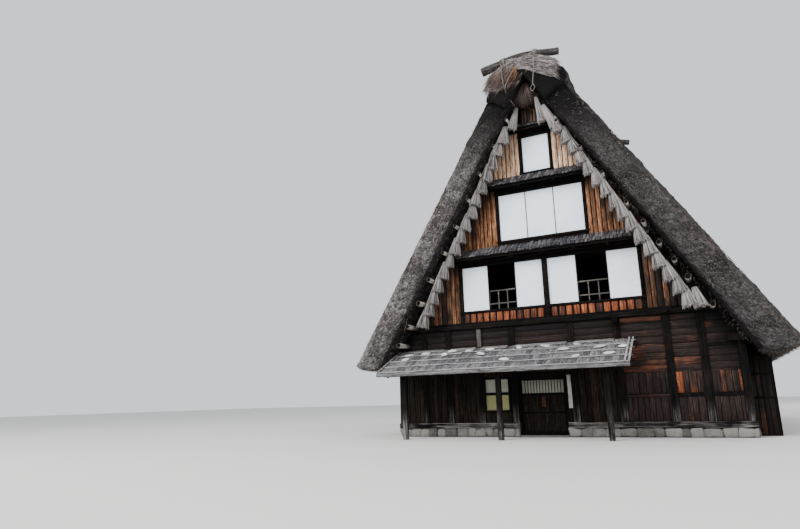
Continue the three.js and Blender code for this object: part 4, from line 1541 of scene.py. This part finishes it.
# Boards of the lower walls: lying ones above, upright planks below the split
wallValues = {
    "split": 1.88,
    "top": 3.585,
    "rail": (1.158, 1.262),
    "underRoof": 2.62,
    "overRoof": 2.96,
    "high": 0.205,
    "wide": 0.175,
    "thick": 0.026,
    "leftBays": [(-5.3, -4.58), (-4.38, -3.65), (-3.45, -2.52)],
    "windowBay": (-2.32, -1.38),
    "window": (0.80, 1.90),
    "doorBay": (-1.18, 0.56),
    "besideDoor": [(0.35, 0.56), (0.76, 1.97)],
    # the right part's bays, each with the tints of its lying boards below and above, and of its planks
    # over and under the rail
    "rightBays": [
        (2.17, 3.40, (0.45, 0.9), (0.05, 0.4), (0.0, 0.45), (0.0, 0.28)),
        (3.60, 4.33, (0.15, 0.5), (0.1, 0.5), (0.30, 0.75), (0.05, 0.45)),
        (4.53, 5.30, (0.05, 0.35), (0.05, 0.35), (0.0, 0.62), (0.0, 0.3)),
    ],
    "change": 2.72,
}


def unevenTint(boards, dull, bright):
    # most boards stay dark and a few are bright
    return dull + (bright - dull) * boards.random.random() ** 1.4


def planks(boards, side, x0, x1, z0, z1, tint=(0.0, 1.0)):
    x = x0
    while x < x1 - 0.02:
        wide = min(wallValues["wide"] * boards.random.uniform(0.75, 1.3), x1 - x)
        out = wallValues["thick"] * boards.random.uniform(0.6, 1.3)
        boards.add((x + 0.007, wallY(side, seat), z0), (x + wide - 0.007, wallY(side, out), z1),
                   tint=unevenTint(boards, *tint), loose=0.001)
        x += wide


def layers(boards, side, x0, x1, z0, z1, tint=(0.0, 1.0)):
    # lying boards, each tilted over the one below it
    tilt = (7 if side == "front" else -7, 0, 0)
    z = z0
    while z < z1 - 0.03:
        high = min(wallValues["high"] * boards.random.uniform(0.8, 1.2), z1 - z)
        out = wallValues["thick"] * boards.random.uniform(0.9, 1.15)
        boards.add((x0, wallY(side, 0.004), z + 0.003), (x1, wallY(side, out), z + high), tilt,
                   unevenTint(boards, *tint), 0.0015)
        z += high


def frontWalls():
    values = wallValues
    split, top, underRoof, overRoof = (values[key] for key in ("split", "top", "underRoof", "overRoof"))
    railLow, railHigh = values["rail"]
    lying, upright, sheltered, low = Timbers(81), Timbers(82), Timbers(83), Timbers(84)
    for x0, x1 in values["leftBays"] + values["besideDoor"]:
        planks(sheltered, "front", x0, x1, boardFoot, underRoof)
    planks(sheltered, "front", *values["windowBay"], boardFoot, values["window"][0])
    planks(sheltered, "front", *values["windowBay"], values["window"][1], underRoof)
    layers(low, "front", values["doorBay"][0], values["doorBay"][1], 2.02, underRoof)
    for x0, x1 in [*values["leftBays"], values["windowBay"], values["doorBay"], values["besideDoor"][1]]:
        layers(lying, "front", x0, x1, overRoof, top, (0.0, 0.34))
    for x0, x1, below, above, over, under in values["rightBays"]:
        layers(lying, "front", x0, x1, split + 0.02, values["change"], below)
        layers(lying, "front", x0, x1, values["change"], top, above)
        planks(upright, "front", x0, x1, railHigh, split, over)
        planks(upright, "front", x0, x1, boardFoot, railLow, under)
        lying.add((x0, wallY("front", 0), split - 0.01), (x1, wallY("front", 0.036), split + 0.02), tint=0.2)
    # the rail and the bright head board of the first of these bays
    lying.add((2.17, wallY("front", 0), 1.165), (3.4, wallY("front", 0.045), 1.255), tint=0.3)
    lying.add((2.2, wallY("front", 0.012), 3.42), (3.38, wallY("front", 0.05), 3.565), tint=1.0)
    lying.make("front_lying_boards", rustAcross, "boards", 0.007, cuts=soffitPlanes(0.03))
    upright.make("front_upright_planks", rustUp, "boards", 0.005, cuts=soffitPlanes(0.03))
    # painted shade: the planks under the lean-to take the near-black finish
    sheltered.make("front_sheltered_planks", sootShadeUp, "boards", 0.005, cuts=soffitPlanes(0.03))
    low.make("over_door_boards", sootShadeAcross, "boards", 0.007)
    ends, facing = Timbers(89), Timbers(90)
    ends.add((1.99, wallY("front", 0.058), 3.42), (2.15, wallY("front", 0.27), 3.575))
    ends.make("beam_end", smokedUp, "dark_timber", 0.012)
    facing.add((-2.50, wallY("front", 0.058), 2.96), (-2.34, wallY("front", 0.068), 3.57), tint=0.22)
    facing.make("bleached_post_face", bleachedFace, "grey_timber")


def backWalls():
    values = wallValues
    lying, upright = Timbers(87), Timbers(88)
    stops = posts["left"] + posts["middle"] + posts["right"]
    for left, right in zip(stops[:-1], stops[1:]):
        x0, x1 = left + 0.1, right - 0.1
        layers(lying, "back", x0, x1, values["split"] + 0.02, values["top"], (0.05, 0.8))
        planks(upright, "back", x0, x1, values["rail"][1], values["split"], (0.1, 0.9))
        planks(upright, "back", x0, x1, boardFoot, values["rail"][0], (0.0, 0.6))
    lying.make("back_lying_boards", rustAcross, "boards", 0.007, cuts=soffitPlanes(0.03))
    upright.make("back_upright_planks", rustUp, "boards", 0.005, cuts=soffitPlanes(0.03))


# Planks, posts and rails of the two long walls and of the low aisle on the right
sideValues = {
    "plank": 0.2,
    "top": 2.76,
    "postPitch": 1.8675,
    "rails": (1.15, 2.0),
    "corner": 0.13,
    "aisle": 6.08,
    "aisleTop": 2.24,
    "aisleEnd": 0.9,
    "aislePosts": 8,
    "aisleRails": (1.07, 1.74),
    "endPlanks": (5.58, 5.72, 5.86, 5.99),
}


def longWalls():
    values = sideValues
    aisle, aisleTop = values["aisle"], values["aisleTop"]
    sides, bars = Timbers(85), Timbers(86)

    def run(face, way, y0, y1, z0, z1):
        y = y0
        while y < y1 - 0.02:
            wide = min(values["plank"] * sides.random.uniform(0.75, 1.3), y1 - y)
            out = way * sides.random.uniform(0.02, 0.03)
            sides.add((face, y + 0.004, z0), (face + out, y + wide - 0.004, z1),
                      tint=sides.random.uniform(0.0, 0.5), loose=0.001)
            y += wide

    front, back = frontWall + values["corner"], backWall - values["corner"]
    near, far = frontWall + values["aisleEnd"], backWall - values["aisleEnd"]
    run(-wallHalf, -1, front, back, boardFoot, values["top"])
    run(wallHalf, 1, front, near, boardFoot, values["top"])
    run(wallHalf, 1, far, back, boardFoot, values["top"])
    run(aisle, 1, near, far, 0.02, aisleTop)
    for y in np.arange(front, backWall, values["postPitch"]):
        bars.add((-wallHalf, y - 0.07, boardFoot), (-wallHalf - 0.06, y + 0.07, 2.74))
    for y in np.linspace(near + 0.07, far - 0.07, values["aislePosts"]):
        bars.add((aisle, y - 0.06, 0.0), (6.15, y + 0.06, 2.2))
    for level in values["aisleRails"]:
        bars.add((aisle, near, level - 0.035), (aisle + 0.05, far, level + 0.035))
        for y, way in ((near, -1), (far, 1)):
            bars.add((5.56, y, level - 0.035), (6.1, y + way * 0.04, level + 0.035))
    for y, way in ((near, -1), (far, 1)):
        for x in values["endPlanks"]:
            sides.add((x - 0.06, y, 0.02), (x + 0.06, y + way * 0.02, aisleTop))
    for level in values["rails"]:
        bars.add((-wallHalf, frontWall + 0.1, level - 0.04),
                 (-wallHalf - 0.045, backWall - 0.1, level + 0.04))
    sides.make("side_planks", brownUp, "boards")
    bars.make("side_posts_and_rails", smokedUp, "dark_timber", 0.006)


frontWalls()
backWalls()
longWalls()
print("walls boarded")


# The lean-to roof: short boards in courses, held by long battens and flat stones. Distances are out from
# the front wall
leanValues = {
    "top": 2.93,
    "fall": 0.45,
    "left": -5.42,
    "right": 2.52,
    "courses": [(1.30, 1.84), (0.85, 1.42), (0.40, 0.97), (0.07, 0.52)],
    "board": (0.09, 0.21),
    "battens": [1.36, 0.92, 0.47],
    "battenEnds": [(-5.45, -2.9), (-2.93, 0.2), (0.17, 2.56)],
    "topEnds": [(-5.45, -3.68), (-3.45, -2.53), (-2.30, -1.4), (-1.16, 0.54), (0.78, 2.0)],
    "fasciaEnds": [(-5.47, -1.8), (-1.82, 2.57)],
    "rafters": 10,
    "pegPitch": 0.46,
    "stones": [(-4.9, 0.5), (-4.85, 0.8), (-4.25, 0.4), (-3.5, 0.6), (-3.3, 0.35), (-2.7, 0.35), (-2.15, 0.7),
               (-1.95, 0.35), (-1.2, 1.3), (-0.95, 0.35), (-0.1, 0.35), (0.55, 0.7), (0.9, 0.35), (1.0, 1.3),
               (1.6, 0.65), (1.95, 1.2), (2.3, 0.75)],
}
leanSlope = math.atan(leanValues["fall"])


def leanLevel(out):
    return leanValues["top"] - leanValues["fall"] * out


def leanBoard(boards, out0, out1, x0, x1, lift, thick, tint=None, loose=0.0, pitch=0.0):
    middle = (out0 + out1) / 2
    long = (out1 - out0) / math.cos(leanSlope)
    y = frontWall - middle
    level = leanLevel(middle) + lift
    turn = (math.degrees(leanSlope) + pitch, 0, 0)
    boards.add((x0, y - long / 2, level), (x1, y + long / 2, level + thick), turn, tint, loose)


def leanRoof():
    values = leanValues
    left, right = values["left"], values["right"]
    boards, battens, under, fascia = Timbers(91), Timbers(92), Timbers(93), Timbers(94)
    for out0, out1 in values["courses"]:
        x = left - 0.02
        while x < right:
            wide = boards.random.uniform(*values["board"])
            ragged = boards.random.uniform(-0.025, 0.02)
            tint = boards.random.random()
            leanBoard(boards, out0, out1 + ragged, x, min(x + wide, right + 0.02) - 0.005,
                      0.012 + boards.random.uniform(0, 0.012), 0.014, tint, 0.006, 1.2)
            x += wide
    for out in values["battens"]:
        for x0, x1 in values["battenEnds"]:
            out0 = out + battens.random.uniform(-0.02, 0.02)
            tint = battens.random.uniform(0.5, 1)
            leanBoard(battens, out0, out0 + 0.045, x0, x1, 0.045, 0.025, tint, 0.004)
    for x0, x1 in values["topEnds"]:
        leanBoard(fascia, 0.07, 0.27, x0, x1, 0.045, 0.022, 1.0, 0.004)
    for x0, x1 in values["fasciaEnds"]:
        leanBoard(battens, 1.79, 1.835, x0, x1, 0.036, 0.03, 0.85, 0.002)
        level = leanLevel(1.8)
        fascia.add((x0, frontWall - 1.83, level - 0.095), (x1, frontWall - 1.865, level + 0.012),
                   (10, 0, 0), 0.6, 0.001)
    # boards down the two ends, on top and under them
    for x in (left, 2.44, 2.55):
        leanBoard(fascia if x < 0 else battens, 0.1, 1.86, x - 0.025, x + 0.025, 0.06, 0.035, 0.8)
    for x in (-5.43, 2.535):
        leanBoard(under, 0.1, 1.84, x - 0.02, x + 0.02, -0.07, 0.09, 0.5)
    for x in np.linspace(left + 0.35, right - 0.3, values["rafters"]):
        leanBoard(under, 0.12, 1.78, x - 0.035, x + 0.035, -0.155, 0.09, None, 0.004)
    boards.make("lean_to_boards", silverDown, "grey_timber", 0.003)
    battens.make("lean_to_battens", paleBattens, "grey_timber", 0.006)
    fascia.make("lean_to_fascia", silverAcross, "grey_timber", 0.006)
    under.make("lean_to_rafters", smokedY, "dark_timber", 0.005)


def leanPegs():
    # pegs along the eave, and three longer ones that stick out at the right end
    random = np.random.default_rng(94)
    places = np.arange(-5.2, 2.5, leanValues["pegPitch"])
    starts = [(x + random.normal(0, 0.03), frontWall - 1.80, leanLevel(1.8) + 0.02) for x in places]
    ways = [(0.05 * random.normal(), -0.25, 1.0) for _ in places]
    lengths = [0.075] * len(places)
    for out in (0.35, 0.9, 1.5):
        starts.append((2.40, frontWall - out, leanLevel(out) + 0.08))
        ways.append((1, -0.05, 0.02))
        lengths.append(0.24)
    widths = np.full(len(starts), 0.014)
    placed = laidAlong(stick, np.array(starts), np.array(ways), np.array(lengths), widths)
    mesh = joinCopies("lean_to_pegs", stick, placed, random.random(len(starts)))
    newPiece(mesh, cutEnds)


def boulder(seed, size, blocky):
    # a rounded field stone of the given size, blocky for the footing
    bm = bmesh.new()
    if blocky:
        bmesh.ops.create_cube(bm, size=1)
        bevelled(bm, 0.24, 2)
    else:
        bmesh.ops.create_icosphere(bm, subdivisions=3, radius=0.5)
    away = Vector((seed * 3.7, seed * 1.3, seed * 2.1))
    for corner in bm.verts:
        push = noise.noise(corner.co * 1.6 + away) * 0.22 + noise.noise(corner.co * 4.0 + away) * 0.07
        corner.co += corner.co.normalized() * push
    bmesh.ops.scale(bm, vec=size, verts=bm.verts)
    for corner in bm.verts:
        corner.co.z = max(corner.co.z, -0.47 * size[2])
    return bm


def joinStones(name, stones, material):
    # stones: bmesh, place and tint of each
    whole = bmesh.new()
    tints = []
    for bm, matrix, tint in stones:
        bmesh.ops.transform(bm, matrix=matrix, verts=bm.verts)
        tints.extend([tint] * len(bm.verts))
        addTo(whole, bm)
    mesh = meshOf(name, whole)
    tintPoints(mesh, tints)
    return newPiece(mesh, material, smooth=True)


def roofStones():
    random = np.random.default_rng(95)
    stones = []
    for number, (x, out) in enumerate(leanValues["stones"]):
        high = random.uniform(0.05, 0.09)
        bm = boulder(number + 3, (random.uniform(0.20, 0.36), random.uniform(0.14, 0.24), high), False)
        place = Matrix.Translation((x, frontWall - out, leanLevel(out) + 0.045 + high * 0.42))
        turn = Euler((leanSlope, random.normal(0, 0.05), random.uniform(-0.5, 0.5))).to_matrix().to_4x4()
        stones.append((bm, place @ turn, random.random()))
    joinStones("roof_stones", stones, roofStone)


# A row of field stones under the sill all round the house, and flat ones before and under the door
footValues = {"edge": wallHalf + 0.02, "high": 0.275, "level": 0.134, "long": (0.26, 0.52), "step": 0.052}


def footStones():
    values = footValues
    random = np.random.default_rng(96)
    stones = []
    edge = values["edge"]

    def row(start, end, fixed, along, thick=(0.24, 0.3)):
        place = start
        while place < end - 0.08:
            long = min(random.uniform(*values["long"]), end - place)
            deep = random.uniform(*thick)
            middle = place + long / 2
            size, spot = (long * 1.06, deep, values["high"]), (middle, fixed, values["level"])
            if along == "y":
                size, spot = (deep, long * 1.06, values["high"]), (fixed, middle, values["level"])
            bm = boulder(len(stones), size, True)
            stones.append((bm, Matrix.Translation(spot), random.random()))
            place += long

    row(-edge, -1.2, frontWall + 0.05, "x")
    # thin stones where the door slides past behind them
    row(0.38, 1.9, frontWall + 0.005, "x", (0.17, 0.18))
    row(1.9, edge, frontWall + 0.05, "x")
    row(-edge, edge, backWall - 0.05, "x")
    row(frontWall + 0.2, backWall - 0.2, -edge + 0.1, "y")
    row(frontWall + 0.2, backWall - 0.2, edge - 0.1, "y")
    made = joinStones("foot_stones", stones, fieldStone)
    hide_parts("base_stones")
    flat = Timbers(97)
    flat.add((-1.18, frontWall - 0.06, 0.0), (0.38, frontWall + 0.12, values["step"]), tint=0.4)
    flat.add((-1.23, frontWall + 0.11, 0.0), (1.9, frontWall + 0.2, values["step"]), tint=0.5)
    flat.make("threshold_stones", fieldStone, "stone", 0.01)


leanRoof()
leanPegs()
roofStones()
footStones()
print("lean-to roof and stones laid")


# The entrance: a sliding board leaf with a latticed light, a small window and a bare name board
doorValues = {
    "left": -1.168,
    "right": 0.368,
    "low": 0.062,
    "high": 1.992,
    "front": frontWall + 0.1265,
    "back": frontWall + 0.1655,
    "stile": 0.09,
    "rail": 0.12,
    "midRail": (0.72, 0.78),
    "light": (1.37, 1.78),
    "bars": 14,
    "boards": 8,
    "tag": (-0.455, -0.33, 0.93, 1.25),
}


def doorLeaf():
    values = doorValues
    left, right, low, high = (values[key] for key in ("left", "right", "low", "high"))
    front, back = values["front"], values["back"]
    light0, light1 = values["light"]
    inner0, inner1 = left + values["stile"], right - values["stile"]
    leaf, bars, paper, tag = Timbers(101), Timbers(102), Timbers(103), Timbers(106)
    frameBars = [(left, inner0, low, high), (inner1, right, low, high),
                 (inner0, inner1, low, low + values["rail"]), (inner0, inner1, high - values["rail"], high),
                 (inner0, inner1, light0 - 0.06, light0), (inner0, inner1, light1, light1 + 0.05),
                 (inner0, inner1, *values["midRail"])]
    for x0, x1, z0, z1 in frameBars:
        bars.add((x0, front, z0), (x1, back, z1), tint=0.3)
    wide = (inner1 - inner0) / values["boards"]
    for z0, z1 in ((low + 0.11, light0 - 0.05), (light1 + 0.04, high - 0.11)):
        for number in range(values["boards"]):
            x = inner0 + number * wide
            leaf.add((x + 0.002, front + 0.012, z0), (x + wide - 0.002, back - 0.008, z1),
                     tint=leaf.random.uniform(0.1, 0.55))
    pitch = (inner1 - inner0) / values["bars"]
    for number in range(1, values["bars"]):
        x = inner0 + number * pitch
        bars.add((x - 0.011, front + 0.003, light0), (x + 0.011, front + 0.016, light1), tint=0.2)
    # painted shade: the door leaf under the lean-to takes the near-black finish
    made = leaf.make("door_boards", sootShadeUp, "boards", 0.003, body="door")
    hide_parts("entrance_door")
    bars.make("door_frame", smokedUp, "dark_timber", 0.003, body="door")
    paper.add((inner0 - 0.005, front + 0.018, light0 - 0.01), (inner1 + 0.005, front + 0.022, light1 + 0.01),
              tint=0.5)
    paper.make("door_light_paper", shadedDimPaper, "paper", 0.0005, body="door")
    x0, x1, z0, z1 = values["tag"]
    tag.add((x0, front + 0.003, z0), (x1, front + 0.0125, z1), tint=0.52)
    tag.make("bare_door_tag", rustUp, "boards", 0.002, body="door")


# Bars round the small window and the doorway: across from and to, up from and to, and how far out they stand
trimValues = {
    "window": [(-2.37, -1.43, 1.85, 1.91, 0.05), (-2.37, -1.43, 0.79, 0.85, 0.06),
               (-2.36, -2.29, 0.79, 1.91, 0.045), (-1.50, -1.43, 0.79, 1.91, 0.045)],
    "windowBars": [(-1.92, -1.87, 0.85, 1.85), (-2.29, -1.50, 1.335, 1.425)],
    "doorway": [(-1.22, -1.15, sillTop, 1.99, 0.04), (0.35, 0.42, sillTop, 1.99, 0.04),
                (-1.22, 0.42, 1.93, 2.02, 0.05)],
    "nameBoard": (0.435, 0.585, 0.88, 1.91),
}


def entranceTrim():
    values = trimValues
    trim, plate = Timbers(104), Timbers(105)

    def bar(x0, x1, z0, z1, out, back=0.0):
        trim.add((x0, wallY("front", out), z0), (x1, wallY("front", back), z1), tint=0.35)

    for row in values["window"]:
        bar(*row)
    for row in values["windowBars"]:
        bar(*row, -0.004, -0.018)
    for row in values["doorway"]:
        bar(*row)
    trim.make("entrance_trim", smokedUp, "dark_timber")
    x0, x1, z0, z1 = values["nameBoard"]
    plate.add((x0, wallY("front", 0.030), z0), (x1, wallY("front", 0.052), z1), tint=0.8)
    plate.make("bare_name_board", limedUp, "grey_timber")


doorLeaf()
entranceTrim()
print("entrance fitted")


# Materials of the frame's own timbers, which show between the added pieces
def dress(material, *names):
    for name in names:
        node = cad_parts[name]
        node.data.materials.clear()
        node.data.materials.append(material)


dress(smokedPosts, "front_posts_left", "front_posts_right", "back_posts", "porch_frame")
dress(smokedX, "front_beam", "back_beam")
dress(windowRails, "window_rail_left", "window_rail_right")
dress(smokedWall, "front_wall_left", "front_wall_right", "front_wall_over_door", "back_wall",
      "left_wall", "right_wall", "right_aisle_wall", "front_gable_wall", "back_gable_wall")
dress(brownDeep, "ground_floor", "attic_floor_1", "attic_floor_2", "attic_floor_3")
dress(windowPaper, "front_panel_1_1", "front_panel_1_2", "front_panel_1_3", "front_panel_1_4",
      "front_panels_2", "front_panel_3", "back_panels_1", "back_panels_2", "back_panels_3", "back_panels_4")
dress(shadedDimPaper, "entrance_window")
dress(weatheredSill, "base_sill")
dress(smokedX, "lean_to_roof", "front_pent_1", "front_pent_2", "front_pent_3",
      "back_pent_1", "back_pent_2", "back_pent_3")
print("frame dressed")
